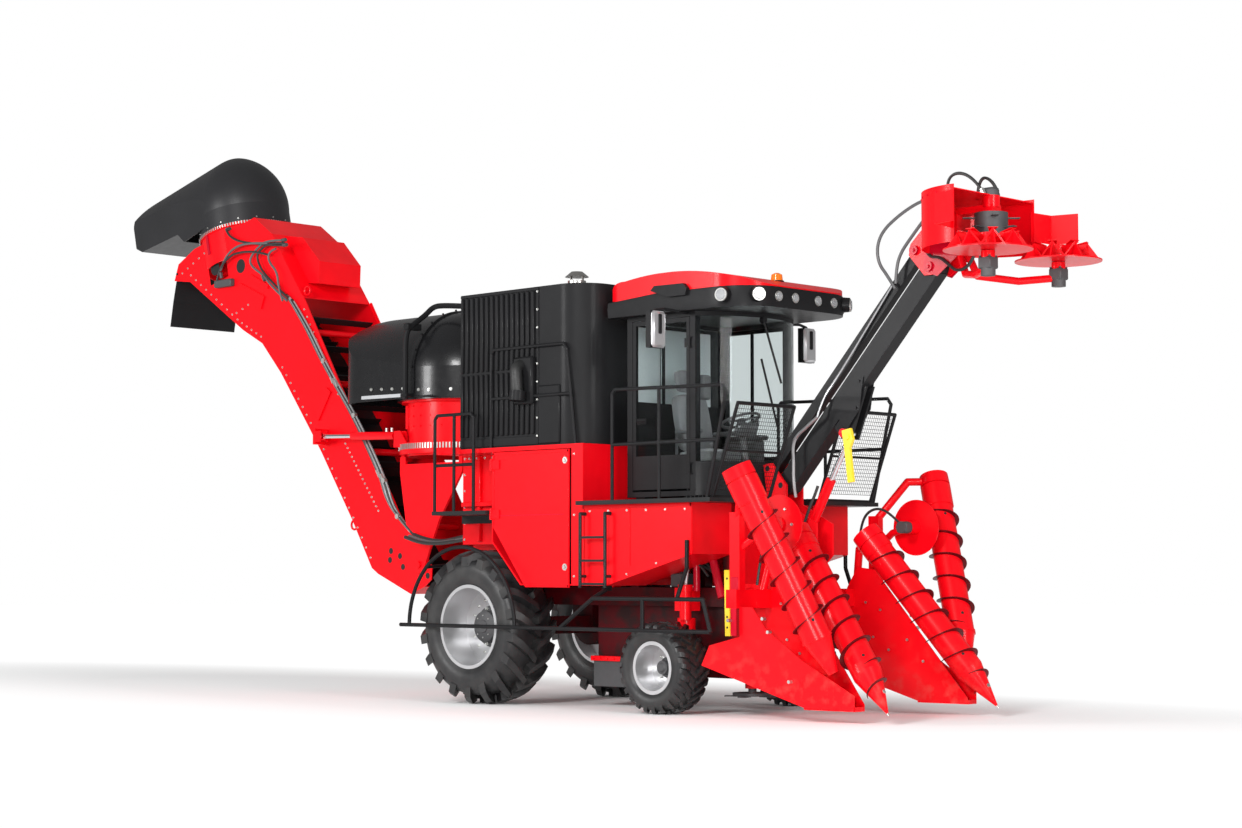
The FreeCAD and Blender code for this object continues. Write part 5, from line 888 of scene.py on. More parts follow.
HOOD_FOOT, HOOD_BOLT = 0.788, 0.014
bm = bmesh.new()
for side in (-1.0, 1.0):
    start, end = at(-2.10, side * 0.771, 3.345), at(-1.55, side * 0.783, 3.325)
    line_of_bolts(bm, start, end, (0, side, 0), 4, HOOD_BOLT, HOOD_BOLT)
    start = at(-1.28, side * HOOD_FOOT, 3.30)
    line_of_bolts(bm, start, start, (0, side, 0), 1, HOOD_BOLT, HOOD_BOLT)
for step in range(9):
    turn = math.radians(-75 + step * 18.75)
    out = Vector((math.cos(turn), math.sin(turn), 0))
    start = at(SLEW, 0, 3.295) + out * HOOD_FOOT
    line_of_bolts(bm, start, start, out, 1, HOOD_BOLT, HOOD_BOLT)
piece("hood_bolts", bm, "main_hood", zinc)

strip_metal = Finish("silver_band", (0.62, 0.63, 0.65), 0.34, Metallic=0.6)
strip_metal.put({"Roughness": strip_metal.noise(30.0) * 0.15 + 0.28})
bm = bmesh.new()
for side in (-1.0, 1.0):
    tag(bm, [
        at(-2.28, side * 0.759, 3.245), at(-1.55, side * 0.781, 3.235), at(-1.55, side * 0.781, 3.272),
        at(-2.28, side * 0.759, 3.282),
    ], 0.006, (0, side, 0))
piece("hood_silver_bands", bm, "main_hood", strip_metal)

bent_tube(
    "hood_tube", (
        at(-1.42, -0.86, 3.20), at(-1.42, -0.86, 3.60), at(-1.42, -0.86, 3.92), at(-1.36, -0.82, 4.00),
        at(-1.38, -0.62, 4.12), at(-1.38, -0.50, 4.23), at(-1.25, -0.46, 4.235), at(-0.90, -0.42, 4.20),
        at(-0.50, -0.38, 4.17),
    ), 0.030, "main_hood", black, 12,
)
bm = bmesh.new()
block(bm, at(-1.47, -0.89, 3.225), at(-1.37, -0.782, 3.26), 0.004)
block(bm, at(-1.43, -0.885, 3.95), at(-1.35, -0.69, 4.02), 0.006)
block(bm, at(-0.60, -0.43, 4.135), at(-0.42, -0.33, 4.205), 0.008)
for x in (-0.57, -0.51, -0.45):
    stud(bm, at(x, -0.43, 4.17), (0, -1, 0), 0.012, 0.012, segments=6)
piece("hood_tube_mounts", bm, "main_hood", black)


def gear_ring(name, centre, tilt, radius, height, count, body):
    """Row of short teeth standing round a turning ring."""
    bm = bmesh.new()
    lean = Matrix.Rotation(tilt, 3, "Y")
    for step in range(count):
        turn = math.tau * step / count
        spot = Vector((radius * math.cos(turn), radius * math.sin(turn), 0))
        made = bmesh.ops.create_cube(bm, size=1.0)["verts"]
        bmesh.ops.scale(bm, vec=(0.030, 0.016, height), verts=made)
        bmesh.ops.rotate(bm, cent=(0, 0, 0), matrix=Matrix.Rotation(turn, 3, "Z"), verts=made)
        bmesh.ops.translate(bm, vec=spot, verts=made)
        bmesh.ops.rotate(bm, cent=(0, 0, 0), matrix=lean, verts=made)
        bmesh.ops.translate(bm, vec=centre, verts=made)
    piece(name, bm, body, zinc)


gear_ring("slew_teeth", at(SLEW, 0, 2.700), 0.0, 0.758, 0.060, 132, "turntable")
bm = bmesh.new()
for y in (-0.56, -0.20, 0.20, 0.56):
    x = SLEW - math.sqrt(FAN_HOUSING ** 2 - y ** 2)
    block(bm, at(x - 0.02, y - 0.012, 2.90), at(x + 0.03, y + 0.012, 3.16), 0.004)
for step in range(9):
    turn = math.radians(-140 + step * 12.0)
    out = Vector((math.cos(turn), math.sin(turn), 0))
    spot = at(SLEW, 0, 2.92) + out * (FAN_HOUSING - 0.001)
    line_of_bolts(bm, spot, spot + Vector((0, 0, 0.22)), out, 3, 0.009)
piece("housing_bolts", bm, "root", red)


# ---------------------------------------------------------------- elevator
# Cut cane climbs between two bent red side plates, dragged up a black floor by slats.
# A bundle of hoses with bright couplings runs up its right side to the head motors and the second fan.
coat_nodes(("bin_flap", "elevator_conveyor"), black)
bundle = (
    (-0.75, 1.66), (-1.32, 1.68), (-1.70, 1.78), (-1.95, 1.97), (-2.10, 2.15), (-2.19, 2.37), (-2.45, 2.76),
    (-2.72, 3.12), (-3.02, 3.46), (-3.28, 3.77), (-3.61, 4.22), (-3.90, 4.53),
)
# Painted sheen: a mid-grey copy of the black hose rubber, lightened to stand in for the light on glossy black
# hoses.
sheen_grey_rubber = Finish("hose_grey_sheen", (0.09, 0.09, 0.093), 0.38)
sheen_grey_rubber.put({"Roughness": sheen_grey_rubber.noise(30.0) * 0.2 + 0.32})
# Painted highlight: two hoses of the bundle are light grey and metallic, standing in for the sheen on glossy
# black sleeves.
highlight_sleeve = Finish("painted_highlight_sleeve", (0.42, 0.42, 0.43), 0.24, Metallic=0.6)
highlight_sleeve.put({"Roughness": highlight_sleeve.noise(20.0) * 0.3 + 0.12})
bundle_hoses = (
    (-0.085, 0.524, 0.015, hose_rubber), (-0.045, 0.528, 0.018, sheen_grey_rubber), (0.0, 0.530, 0.018, highlight_sleeve),
    (0.042, 0.530, 0.018, hose_rubber), (0.085, 0.526, 0.014, highlight_sleeve),
)
for step, (shift, out, width, cover) in enumerate(bundle_hoses):
    line = [at(x + shift * 0.85, -out, z - shift * 0.55) for x, z in bundle[5 if step == 0 else 2:]]
    bent_tube("elevator_hose_%d" % step, line, width, "elevator", cover, 8)
for step, (y, z) in enumerate(((-0.56, 1.69), (-0.62, 1.67), (-0.68, 1.66))):
    bent_tube(
        "foot_hose_%d" % step, (
            at(-1.62, y, z + 0.06), at(-1.40, y - 0.01, z), at(-1.10, y - 0.02, z - 0.02),
            at(-0.80, -0.70, z), at(-0.58, -0.72, z + 0.03),
        ), 0.021, ("root", "turntable", at(-0.66, y, z), at(-1.40, y, z)),
        (hose_rubber, sheen_grey_rubber)[step % 2], 8,
    )
bm = bmesh.new()
for x, z in bundle[3:-1:2]:
    stud(bm, at(x + 0.035, -0.515, z - 0.02), (0, -1, 0), 0.032, 0.040, segments=6)
for shift in (-0.045, 0.0, 0.042):
    for x, z in (bundle[5], bundle[8]):
        stud(bm, at(x + shift * 0.85, -0.536, z - shift * 0.55), (-0.55, 0, 0.83), 0.022, 0.09, segments=6)
piece("hose_couplings", bm, "elevator", zinc)

loops = (
    ((-5.14, 5.46), (-5.10, 5.39), (-4.91, 5.30), (-4.66, 5.25), (-4.28, 5.19), (-4.02, 5.16)),
    ((-5.24, 4.97), (-5.17, 5.11), (-4.94, 5.24), (-4.60, 5.25), (-4.30, 5.21)),
    ((-5.30, 4.86), (-5.26, 4.98), (-5.12, 5.10), (-4.91, 5.16), (-4.53, 5.14), (-4.28, 5.07)),
    ((-3.93, 4.50), (-4.20, 4.67), (-4.40, 4.85), (-4.60, 4.95), (-4.68, 5.05), (-4.51, 5.18), (-4.33, 5.25),
     (-4.04, 5.22)),
    ((-3.90, 4.53), (-4.35, 4.83), (-4.50, 5.01), (-4.51, 5.12), (-4.28, 5.22), (-3.98, 5.18)),
    ((-4.00, 4.50), (-4.08, 4.66), (-4.11, 4.86), (-4.28, 4.99), (-4.28, 5.11), (-4.14, 5.13)),
)
for step, loop in enumerate(loops):
    places = [at(x, -0.545 - 0.006 * (step % 3), z) for x, z in loop]
    cover = (hose_rubber, sheen_grey_rubber)[step % 2]
    bent_tube("head_hose_%d" % step, places, 0.014, "elevator", cover, 8)
bm = bmesh.new()
for x, z, axis in (
    (-5.14, 5.46, (0, 1, 0.3)), (-5.24, 4.95, (0, 0.2, -1)), (-5.30, 4.84, (0, 0.2, -1)),
    (-4.01, 5.16, (1, 0, 0)), (-4.03, 5.22, (1, 0, 0)), (-4.40, 4.83, (0.6, 0, -0.8)),
):
    stud(bm, at(x, -0.548, z), axis, 0.022, 0.07, segments=6)
block(bm, at(-5.36, -0.565, 4.77), at(-5.02, -0.495, 4.86), 0.012)
piece("head_fittings", bm, "elevator", cast)

# Round holes in the heel and the head, shown as black discs of painted shade, and rows of bolts along both
# side plates.
SIDE_PLATE, SUNK = 0.500, 0.499
hollow = Finish("shadow_black", (0.004, 0.004, 0.004), 0.7)
bm = bmesh.new()
HEEL_HOLES = (
    (-2.07, 1.572), (-1.916, 1.516), (-2.086, 1.473), (-1.864, 1.396), (-1.645, 1.417), (-1.45, 1.30),
)
for x, z in HEEL_HOLES:
    for sign in (-1.0, 1.0):
        stud(bm, at(x, sign * SUNK, z), (0, sign, 0), 0.034, 0.0022, segments=28)
for x, z in ((-5.42, 5.02), (-4.90, 5.00)):
    stud(bm, at(x, -SUNK, z), (0, -1, 0), 0.085, 0.0022, segments=28)
piece("heel_holes", bm, "elevator", hollow)

bm = bmesh.new()
for sign in (-1.0, 1.0):
    for a, b, count in (
        ((-2.42, 1.50), (-3.27, 2.74), 12), ((-3.36, 2.86), (-4.06, 3.73), 10),
        ((-4.48, 4.12), (-4.86, 4.31), 5), ((-4.95, 4.36), (-5.92, 4.98), 10),
        ((-2.88, 2.79), (-2.29, 2.02), 16), ((-3.02, 3.36), (-3.66, 4.38), 12),
        ((-4.97, 4.44), (-4.51, 4.60), 5), ((-6.10, 5.02), (-5.30, 5.38), 8),
    ):
        start, end = at(a[0], sign * SIDE_PLATE, a[1]), at(b[0], sign * SIDE_PLATE, b[1])
        line_of_bolts(bm, start, end, (0, sign, 0), count, 0.010)
piece("elevator_bolts", bm, "elevator", zinc)

# Welded patches on the side plates, and the folded flange that stiffens their upper edge.
bm = bmesh.new()
for sign in (-1.0, 1.0):
    for a, b, below, above in (
        ((-4.93, 4.72), (-4.44, 4.52), 0.080, 0.080), ((-4.70, 4.86), (-4.34, 4.70), 0.025, 0.025),
        ((-3.40, 3.10), (-3.18, 3.42), 0.050, 0.050), ((-2.18, 2.36), (-2.77, 3.14), 0.0, -0.022),
        ((-2.77, 3.14), (-2.99, 3.46), 0.0, -0.022), ((-2.99, 3.46), (-3.69, 4.53), 0.0, -0.022),
    ):
        start, end = at(a[0], sign * SUNK, a[1]), at(b[0], sign * SUNK, b[1])
        run = (end - start).normalized()
        across = Vector((-run.z, 0, run.x))
        tag(bm, [
            start - across * below, end - across * below, end + across * above, start + across * above,
        ], 0.020, (0, sign, 0))
piece("elevator_flanges", bm, "elevator", red)

bm = bmesh.new()
EYE, EYE_PARTS = 0.052, 20
for x, z, lean in ((-2.760, 1.870, 0.45), (-3.655, 4.600, 0.9)):
    ring_turn = Matrix.Rotation(lean, 3, "Y") @ Matrix.Rotation(math.radians(90), 3, "X")
    loop = []
    for step in range(EYE_PARTS):
        turn = math.tau * step / EYE_PARTS
        loop.append(ring_turn @ Vector((EYE * math.cos(turn), EYE * math.sin(turn), 0)))
    for start, end in zip(loop, loop[1:] + loop[:1]):
        stud(bm, at(x, -0.46, z) + start, end - start, 0.012, (end - start).length * 1.1, segments=8)
piece("lifting_eyes", bm, "elevator", red)

coat_nodes(("elevator_rods", "topper_rod"), Finish("chrome_rod", (0.75, 0.76, 0.78), 0.12, Metallic=1.0))
bm = bmesh.new()
for sign in (-1.0, 1.0):
    for x in (-1.99, -1.90):
        stud(bm, at(x, sign * 0.64, 2.87), (0, 0, 1), 0.016, 0.05, segments=12)
piece("strut_ports", bm, "elevator_cylinders", zinc)


# ---------------------------------------------------------------- secondary extractor
# The second fan sits in a red barrel over the elevator head, under a black hood with a long drooping spout.
# The hood turns on a toothed ring, and folded ribs stiffen the barrel.
moulded = paint("satin_charcoal", (0.020, 0.020, 0.022), 0.42, 0.0, dust=0.1, specular=0.35)
coat_nodes(("secondary_hood",), moulded)
coat_nodes(("secondary_fan",), black)
SECOND = at(-5.480, 0, 5.480)
LEAN = math.radians(-14.0)
tilt = Matrix.Rotation(LEAN, 3, "Y")
gear_ring("barrel_teeth", SECOND + tilt @ Vector((0, 0, -0.018)), LEAN, 0.563, 0.034, 104, "elevator")
bm = bmesh.new()
for step in range(10):
    turn = math.tau * step / 10 + 0.2
    made = bmesh.ops.create_cube(bm, size=1.0)["verts"]
    bmesh.ops.scale(bm, vec=(0.020, 0.045, 0.24), verts=made)
    bmesh.ops.rotate(bm, cent=(0, 0, 0), matrix=Matrix.Rotation(turn, 3, "Z"), verts=made)
    bmesh.ops.translate(bm, vec=(0.550 * math.cos(turn), 0.550 * math.sin(turn), -0.16), verts=made)
    bmesh.ops.rotate(bm, cent=(0, 0, 0), matrix=tilt, verts=made)
    bmesh.ops.translate(bm, vec=SECOND, verts=made)
piece("barrel_ribs", bm, "elevator", shaded_red)
bm = bmesh.new()
for step in range(16):
    turn = math.tau * step / 16
    out = tilt @ Vector((math.cos(turn), math.sin(turn), 0))
    spot = SECOND + tilt @ Vector((0.564 * math.cos(turn), 0.564 * math.sin(turn), 0.035))
    stud(bm, spot, out, 0.010, 0.010, segments=6)
piece("second_hood_bolts", bm, "secondary_hood", zinc)


# ---------------------------------------------------------------- topper
# A black box boom and a thinner black link carry the red topper head ahead of the cab.
# Two discs with triangular paddles gather the cane tops into a curved cowl, and hoses loop up to its motors.
coat_nodes(("topper_boom", "topper_link"), black)
GUSSET = ((3.93, 2.86), (3.99, 2.60), (4.19, 2.86), (4.24, 3.16), (4.13, 3.16))
bm = bmesh.new()
for sign in (-1.0, 1.0):
    tag(bm, [at(x, sign * 0.0745, z) for x, z in GUSSET], 0.012, (0, sign, 0))
    for x, z in ((3.985, 2.69), (4.15, 2.87), (4.19, 3.12)):
        stud(bm, at(x, sign * 0.086, z), (0, sign, 0), 0.014, 0.012, segments=6)
piece("boom_gussets", bm, "topper_boom", black)

safety = Finish("safety_yellow", (0.86, 0.62, 0.02), 0.42, Coat_Weight=0.2)
safety.put({"Roughness": safety.noise(20.0) * 0.2 + 0.32})
bm = bmesh.new()
tag(bm, [
    at(4.110, -0.105, 2.50), at(4.150, -0.105, 2.18), at(4.085, -0.105, 2.17), at(4.045, -0.105, 2.50),
], 0.030, (0, -1, 0))
tag(bm, [
    at(4.02, -0.105, 2.66), at(4.05, -0.105, 2.49), at(4.11, -0.105, 2.49), at(4.15, -0.105, 2.58),
    at(4.12, -0.105, 2.68),
], 0.034, (0, -1, 0))
stud(bm, at(4.085, -0.075, 2.600), (0, -1, 0), 0.028, 0.075, segments=20)
piece("lift_lock_bar", bm, "topper_boom", safety)
bm = bmesh.new()
stud(bm, at(4.020, -0.075, 2.640), (0, -1, 0), 0.042, 0.055, segments=24)
piece("lift_pin_cap", bm, "topper_boom", red)

pipe = Finish("bare_steel_pipe", (0.42, 0.42, 0.43), 0.34, Metallic=0.9)
pipe.put({"Roughness": pipe.noise(25.0) * 0.2 + 0.26})
bent_tube(
    "tower_pipe", (
        at(3.47, -0.155, 2.05), at(3.455, -0.17, 2.20), at(3.46, -0.17, 2.37), at(3.45, -0.17, 2.52),
        at(3.48, -0.17, 2.62), at(3.60, -0.165, 2.70), at(3.74, -0.155, 2.80),
    ), 0.016, ("root", "topper_link", at(3.47, -0.155, 2.10), at(3.72, -0.155, 2.79)), pipe, 12,
)
bent_tube(
    "link_pipe", (
        at(3.74, -0.155, 2.80), at(3.80, -0.150, 2.97), at(3.93, -0.085, 3.17), at(4.26, -0.062, 3.60),
        at(4.58, -0.062, 4.00),
    ), 0.012, "topper_link", pipe, 10,
)
bent_tube(
    "tower_hose", (
        at(3.735, -0.145, 2.15), at(3.71, -0.15, 2.08), at(3.64, -0.155, 1.95), at(3.55, -0.155, 1.74),
        at(3.50, -0.155, 1.66),
    ), 0.014, "root", hose_rubber, 10,
)
across_joint = ("topper_boom", "topper_head", at(4.60, -0.1, 3.94), at(5.00, -0.1, 4.60))
for name, y, body, cover, places in (
    ("topper_hose_long", -0.085, across_joint, sheen_grey_rubber, (
        (4.62, 3.95), (4.53, 4.08), (4.43, 4.20), (4.41, 4.36), (4.48, 4.50), (4.66, 4.62), (4.86, 4.71),
        (5.00, 4.74), (5.09, 4.72),
    )),
    ("topper_hose_short", -0.115, across_joint, sheen_grey_rubber, (
        (4.65, 3.99), (4.66, 4.14), (4.71, 4.27), (4.83, 4.40), (4.98, 4.55), (5.06, 4.62),
    )),
    ("head_hose_front", -0.10, "topper_head", hose_rubber, (
        (5.23, 4.72), (5.23, 4.84), (5.27, 4.92), (5.36, 4.94), (5.47, 4.90), (5.58, 4.80), (5.64, 4.71),
    )),
    ("head_hose_back", 0.06, "topper_head", hose_rubber, (
        (5.45, 4.72), (5.46, 4.82), (5.51, 4.90), (5.59, 4.87), (5.66, 4.78), (5.68, 4.71),
    )),
    ("cheek_hose", -0.125, "topper_head", hose_rubber, (
        (5.10, 4.58), (5.04, 4.46), (4.99, 4.32), (5.04, 4.20), (5.16, 4.19), (5.25, 4.12), (5.33, 4.05),
        (5.43, 4.05), (5.52, 4.12), (5.56, 4.22),
    )),
):
    bent_tube(name, [at(x, y, z) for x, z in places], 0.015, body, cover, 10)
bm = bmesh.new()
for x, y, z, axis in (
    (5.23, -0.10, 4.70, (0, 0, 1)), (5.45, 0.06, 4.70, (0, 0, 1)), (5.64, -0.10, 4.71, (-0.5, 0, 0.9)),
    (5.09, -0.085, 4.73, (-1, 0, 0.1)), (5.56, -0.125, 4.24, (-0.2, 0, -1)),
):
    stud(bm, at(x, y, z), axis, 0.022, 0.06, segments=6)
piece("head_hose_fittings", bm, "topper_head", zinc)

# Zigzag strips stand between the paddles, and each disc hangs on a dark hydraulic motor.
PADDLES, ZIGZAG, STRIP = 8, 0.262, Vector((0, 0, 0.023))  # count, radius and width of the strip
coat_nodes(("gathering_drum_right", "gathering_drum_left"), red)
coat_nodes(("topper_cutter",), cast)
for side, sign in SIDES:
    centre = at(5.985, sign * 0.54, 4.13)
    bm = bmesh.new()
    for step in range(PADDLES):
        turn = math.tau * (step + 0.5 * (sign > 0)) / PADDLES
        nearer, further, last = (
            Vector((math.cos(turn + part), math.sin(turn + part), 0))
            for part in (0.0, math.pi / PADDLES, math.tau / PADDLES)
        )
        top, foot = Vector((0, 0, 0.135)), Vector((0, 0, 0.011))
        for start, end in ((nearer * ZIGZAG + top, further * ZIGZAG + foot),
                           (further * ZIGZAG + foot, last * ZIGZAG + top)):
            tag(bm, [centre + corner for corner in (start, start + STRIP, end + STRIP, end)], 0.008, further)
        across = Vector((-nearer.y, nearer.x, 0)) * 0.045
        inner, outer = nearer * 0.130 + Vector((0, 0, 0.136)), nearer * 0.266 + Vector((0, 0, 0.160))
        tag(bm, [
            centre + corner
            for corner in (inner + across * 0.2, outer + across, outer - across, inner - across * 0.2)
        ], 0.006, (0, 0, 1))
    piece("paddle_stiffeners_" + side, bm, "gathering_drum_" + side, red)
    bm = bmesh.new()
    block(bm, centre + Vector((-0.065, -0.065, -0.165)), centre + Vector((0.065, 0.065, -0.060)), 0.010)
    stud(bm, centre + Vector((0, 0, -0.225)), (0, 0, 1), 0.064, 0.07, segments=24)
    for x, y in ((-0.05, -0.05), (0.05, -0.05), (-0.05, 0.05), (0.05, 0.05)):
        stud(bm, centre + Vector((x, y, -0.06)), (0, 0, 1), 0.010, 0.012, segments=6)
    piece("disc_motor_" + side, bm, "topper_head", cast)

bm = bmesh.new()
for sign in (-1.0, 1.0):
    tag(bm, [
        at(5.345, sign * 0.10, 4.19), at(5.30, sign * 0.107, 4.56), at(5.02, sign * 0.107, 4.60),
        at(4.96, sign * 0.107, 4.08), at(5.12, sign * 0.107, 4.02),
    ], 0.008, (0, sign, 0))
    for x, z in ((5.03, 4.115), (4.865, 4.28)):
        stud(bm, at(x, sign * 0.106, z), (0, sign, 0), 0.045, 0.030, segments=24)
        stud(bm, at(x, sign * 0.136, z), (0, sign, 0), 0.020, 0.012, segments=6)
for step in range(12):
    turn = math.radians(105 + step * 150 / 11)
    spot = at(5.64 + 0.617 * math.cos(turn), 0.617 * math.sin(turn), 4.685)
    stud(bm, spot, (math.cos(turn), math.sin(turn), 0), 0.009, 0.010, segments=6)
piece("head_plates", bm, "topper_head", shaded_red)
bm = bmesh.new()
stud(bm, at(5.64, 0, 4.705), (0, 0, 1), 0.075, 0.05, segments=24)
block(bm, at(5.58, -0.05, 4.70), at(5.70, 0.05, 4.78), 0.012)
piece("cutter_motor", bm, "topper_head", cast)


# ---------------------------------------------------------------- crop dividers
# Each side has two red augers, and the longer inner one ends in a bolted point near the ground.
# Thin dark flights wind down the tubes, plain caps cover their bearings, and a flat disc turns behind them.
coat_nodes(("outer_scroll_right", "outer_scroll_left", "inner_scroll_right", "inner_scroll_left"), red)


def flight(bm, top, end, first, last, pitch, hand, inner=0.131, outer=0.176):
    """Winds a thin flight down an auger, between two distances from its upper end."""
    top, end = Vector(top), Vector(end)
    axis = (end - top).normalized()
    side = axis.orthogonal().normalized()
    other = axis.cross(side)
    turns = (last - first) / pitch
    count = int(turns * 40)
    before = None
    for step in range(count + 1):
        part = step / count
        turn = hand * part * turns * math.tau
        out = side * math.cos(turn) + other * math.sin(turn)
        spot = top + axis * (first + (last - first) * part)
        taper = min(1.0, part * count / 12.0, (count - step) / 12.0)
        reach = inner + 0.004 + (outer - inner - 0.004) * taper
        rim = [
            spot + out * inner - axis * 0.004, spot + out * reach - axis * 0.003,
            spot + out * reach + axis * 0.003, spot + out * inner + axis * 0.004,
        ]
        here = [bm.verts.new(corner) for corner in rim]
        if before:
            for edge in range(4):
                bm.faces.new((before[edge], before[(edge + 1) % 4], here[(edge + 1) % 4], here[edge]))
        else:
            bm.faces.new(here)
        before = here
    bm.faces.new(list(reversed(before)))


flight_edge = paint("auger_flight_red", (0.12, 0.003, 0.006), 0.40, 0.1, dust=0.2)
for side, sign in SIDES:
    outer_top, outer_end = at(3.920, sign * 1.440, 2.180), at(4.500, sign * 1.056, 0.700)
    inner_top, inner_end = at(3.840, sign * 0.535, 1.630), at(5.070, sign * 0.820, 0.100)
    outer_axis = (outer_end - outer_top).normalized()
    inner_axis = (inner_end - inner_top).normalized()
    reach = (outer_end - outer_top).length
    span = (inner_end - inner_top).length
    bm = bmesh.new()
    flight(bm, outer_top, outer_end, 0.27, reach - 0.12, 0.235, -sign)
    piece("outer_flight_" + side, bm, "outer_scroll_" + side, flight_edge)
    bm = bmesh.new()
    flight(bm, inner_top, inner_end, 0.16, span - 0.47, 0.235, -sign)
    flight(bm, inner_top, inner_end, span - 0.42, span - 0.22, 0.20, -sign, 0.092, 0.135)
    piece("inner_flight_" + side, bm, "inner_scroll_" + side, flight_edge)

    # bearing covers, joint rings, bolt holes shown as black discs of painted shade, and the bolted point
    bm = bmesh.new()
    stud(bm, outer_top + outer_axis * 0.012, outer_axis, 0.146, 0.225, segments=48)
    stud(bm, outer_top + outer_axis * (reach - 0.075), outer_axis, 0.142, 0.03, segments=48)
    piece("outer_cap_" + side, bm, "outer_scroll_" + side, red)
    bm = bmesh.new()
    stud(bm, inner_top + inner_axis * 0.012, inner_axis, 0.144, 0.12, segments=48)
    piece("inner_cap_" + side, bm, "inner_scroll_" + side, red)
    for name, top, axis, marks in (
        ("outer", outer_top, outer_axis, (0.36, reach - 0.22)),
        ("inner", inner_top, inner_axis, (0.22, span - 0.56)),
    ):
        bm = bmesh.new()
        around = axis.orthogonal().normalized()
        for mark in marks:
            for step in range(3):
                out = Matrix.Rotation(math.tau * step / 3 + 0.3, 3, axis) @ around
                stud(bm, top + axis * mark + out * 0.1335, out, 0.014, 0.003, segments=16)
        piece(name + "_auger_holes_" + side, bm, name + "_scroll_" + side, hollow)
    bm = bmesh.new()
    out = Vector((0.35, sign * -0.2, 0.9)).cross(inner_axis).cross(inner_axis).normalized() * -1
    stud(bm, inner_top + inner_axis * (span - 0.20) + out * 0.055, out, 0.020, 0.018, segments=6)
    stud(bm, inner_top + inner_axis * (span - 0.03), inner_axis, 0.014, 0.05, 0.006, 10)
    piece("point_bolt_" + side, bm, "inner_scroll_" + side, zinc)

    # fixed shrouds over the bearings, on the divider itself
    bm = bmesh.new()
    stud(bm, outer_top - outer_axis * 0.115, outer_axis, 0.140, 0.112, 0.146, 48)
    stud(bm, inner_top - inner_axis * 0.115, inner_axis, 0.138, 0.112, 0.144, 48)
    piece("bearing_shrouds_" + side, bm, "divider_" + side, red)

    # the divider's own fittings
    bm = bmesh.new()
    for x, y, z in ((4.17, 1.055, 0.36), (3.94, 1.075, 0.80), (3.88, 1.08, 0.92), (3.50, 1.12, 0.90)):
        stud(bm, at(x, sign * y, z), (0, sign, 0), 0.017, 0.045, segments=6)
    for x, z in ((3.70, 1.05), (3.86, 0.98), (3.78, 0.72), (3.95, 0.60), (4.15, 0.70), (4.32, 0.50)):
        y = 0.600 + (x - 3.480) * 0.1317
        stud(bm, at(x, sign * (y - 0.016), z), (0, -sign, 0), 0.013, 0.014, segments=6)
        stud(bm, at(x, sign * (y + 0.010), z), (0, sign, 0), 0.013, 0.014, segments=6)
    piece("divider_bolts_" + side, bm, "divider_" + side, zinc)
    bm = bmesh.new()
    tag(bm, [
        at(3.500, sign * 1.112, 0.760), at(3.560, sign * 1.106, 0.760), at(3.560, sign * 1.106, 1.010),
        at(3.500, sign * 1.112, 1.010),
    ], 0.010, (0, sign, 0))
    block(bm, at(3.452, sign * 1.025 - 0.045, 1.16), at(3.548, sign * 1.025 + 0.045, 1.30), 0.008)
    piece("divider_plates_" + side, bm, "divider_" + side, shaded_red)
    bm = bmesh.new()
    for turn in range(6):
        angle = math.tau * turn / 6
        spot = at(4.0 + 0.16 * math.cos(angle), sign * 1.024, 1.77 + 0.16 * math.sin(angle))
        stud(bm, spot, (0, sign, 0), 0.014, 0.014, segments=6)
    piece("disc_bolts_" + side, bm, "trim_disc_" + side, zinc)
    bm = bmesh.new()
    stud(bm, at(4.0, sign * 0.885, 1.77), (0, -sign, 0), 0.058, 0.11, segments=20)
    block(bm, at(3.94, sign * 0.83 - 0.05, 1.72), at(4.06, sign * 0.83 + 0.05, 1.82), 0.012)
    piece("trim_motor_" + side, bm, "divider_" + side, cast)
    loop = [at(x, sign * y, z) for x, y, z in (
        (3.98, 0.80, 1.80), (3.90, 0.72, 1.92), (3.78, 0.68, 1.96), (3.66, 0.66, 1.90), (3.58, 0.68, 1.74),
        (3.52, 0.72, 1.50), (3.49, 0.74, 1.22),
    )]
    bent_tube("trim_hose_" + side, loop, 0.013, "divider_" + side, hose_rubber, 8)

    # yellow lock post with its row of holes, shown as black discs of painted shade, on the frame beside the
    # front wheel
    bm = bmesh.new()
    outline = ((3.095, 1.36), (3.105, 0.74), (3.045, 0.74), (3.035, 1.36))
    tag(bm, [at(x, sign * 0.66, z) for x, z in outline], 0.030, (0, sign, 0))
    piece("lock_post_" + side, bm, "root", safety)
    bm = bmesh.new()
    for z in (1.28, 1.16, 1.04, 0.92, 0.82):
        stud(bm, at(3.072, sign * 0.6895, z), (0, sign, 0), 0.011, 0.003, segments=14)
    piece("lock_post_holes_" + side, bm, "root", hollow)


# ---------------------------------------------------------------- undercarriage and throat
# Behind the dividers are the height struts, lift barrels, hoses and valve blocks beside the front wheels.
# Frame, throat and rear axle carry red paint that is darkened under the machine as painted shade, and the
# base cutters and valve blocks are plain castings.
coat_nodes(("base_cutter_right", "base_cutter_left", "engine_block"), cast)
# Painted shade: behind a line about 3 m ahead of the rear axle the red is dark red with near-black patches,
# standing in for the shade under the machine; ahead of that line it is bright red.
underside = paint("painted_shade_underframe", (0.060, 0.0008, 0.002), 0.5, 0.0, dust=0.5)
ahead = underside.step((underside.axis("X") - axle_x) * 0.2, 0.585, 0.62)
dark_patches = underside.step(underside.noise(5.0, 4.0), 0.45, 0.62) * 0.8
shaded_underframe_colour = underside.blend(dark_patches, (0.060, 0.001, 0.003, 1.0), (0.012, 0.008, 0.008, 1.0))
underside.put({"Base Color": underside.blend(ahead, shaded_underframe_colour, (0.80, 0.002, 0.008, 1.0))})
coat_nodes(("throat_walls", "chassis_frame", "rear_axle"), underside)
bm = bmesh.new()
for sign in (-1.0, 1.0):
    block(bm, at(1.12, sign * 0.50 - 0.02, 0.20), at(1.56, sign * 0.50 + 0.02, 0.47), 0.006)
piece("throat_skirts", bm, "root", cast)
bm = bmesh.new()
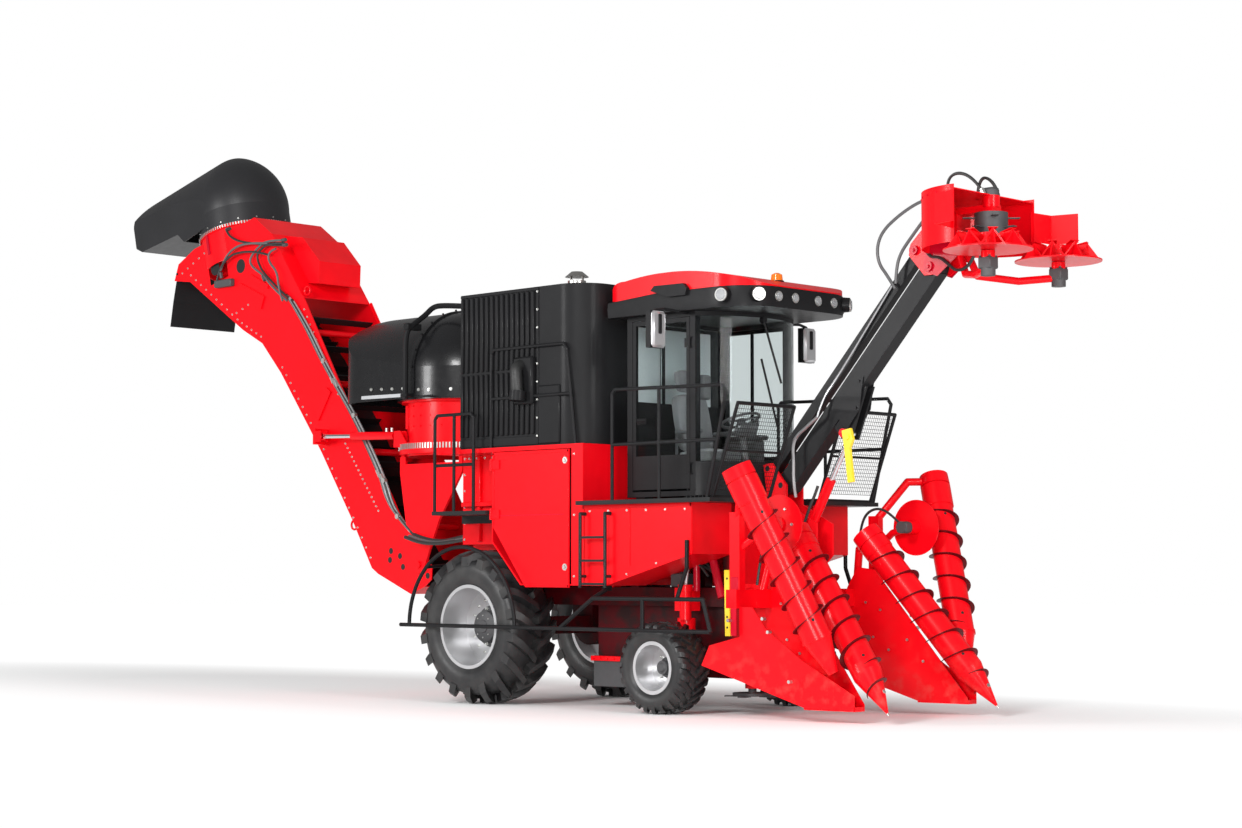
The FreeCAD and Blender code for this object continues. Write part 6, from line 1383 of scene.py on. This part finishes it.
for sign in (-1.0, 1.0):
    block(bm, at(1.10, sign * 0.515 - 0.03, 0.455), at(1.58, sign * 0.515 + 0.03, 0.505), 0.005)
    line_of_bolts(bm, at(1.15, sign * 0.545, 0.48), at(1.53, sign * 0.545, 0.48), (0, sign, 0), 5, 0.009)
piece("skirt_clamps", bm, "root", red)
coat_nodes(("knockdown_roller",), red)
for side, sign in SIDES:
    bm = bmesh.new()
    stud(bm, at(2.80, sign * 0.60, 1.50), (0.30, 0, -0.95), 0.040, 0.42, segments=20)
    stud(bm, at(2.62, sign * 0.62, 1.46), (0.0, 0, -1.0), 0.034, 0.30, segments=20)
    piece("lift_barrels_" + side, bm, "root", shaded_red)
    bm = bmesh.new()
    stud(bm, at(2.550, sign * 0.705, 0.885), (0, 0, 1), 0.056, 0.285, segments=28)
    stud(bm, at(2.550, sign * 0.705, 1.160), (0, 0, 1), 0.072, 0.060, segments=28)
    piece("height_strut_" + side, bm, "root", red)
    bm = bmesh.new()
    stud(bm, at(2.552, sign * 0.700, 1.215), (0.14, 0, 1), 0.015, 0.165, segments=16)
    piece("height_rod_" + side, bm, "root", strip_metal)
    bm = bmesh.new()
    block(bm, at(2.30, sign * 0.60 - 0.05, 1.20), at(2.52, sign * 0.60 + 0.05, 1.33), 0.010)
    for x in (2.34, 2.40, 2.46):
        stud(bm, at(x, sign * 0.60, 1.33), (0, 0, 1), 0.015, 0.05, segments=6)
    piece("valve_block_" + side, bm, "root", cast)
    for step, places in enumerate((
        ((2.34, 0.60, 1.37), (2.36, 0.62, 1.47), (2.50, 0.64, 1.50), (2.66, 0.64, 1.44), (2.78, 0.63, 1.30)),
        ((2.40, 0.60, 1.37), (2.44, 0.60, 1.45), (2.60, 0.56, 1.47), (2.75, 0.54, 1.38), (2.90, 0.55, 1.20)),
        ((2.46, 0.60, 1.37), (2.50, 0.58, 1.43), (2.66, 0.55, 1.41), (2.84, 0.53, 1.28)),
    )):
        line = [at(x, sign * y, z) for x, y, z in places]
        bent_tube("throat_hose_%s_%d" % (side, step), line, 0.013, "root", hose_rubber, 8)
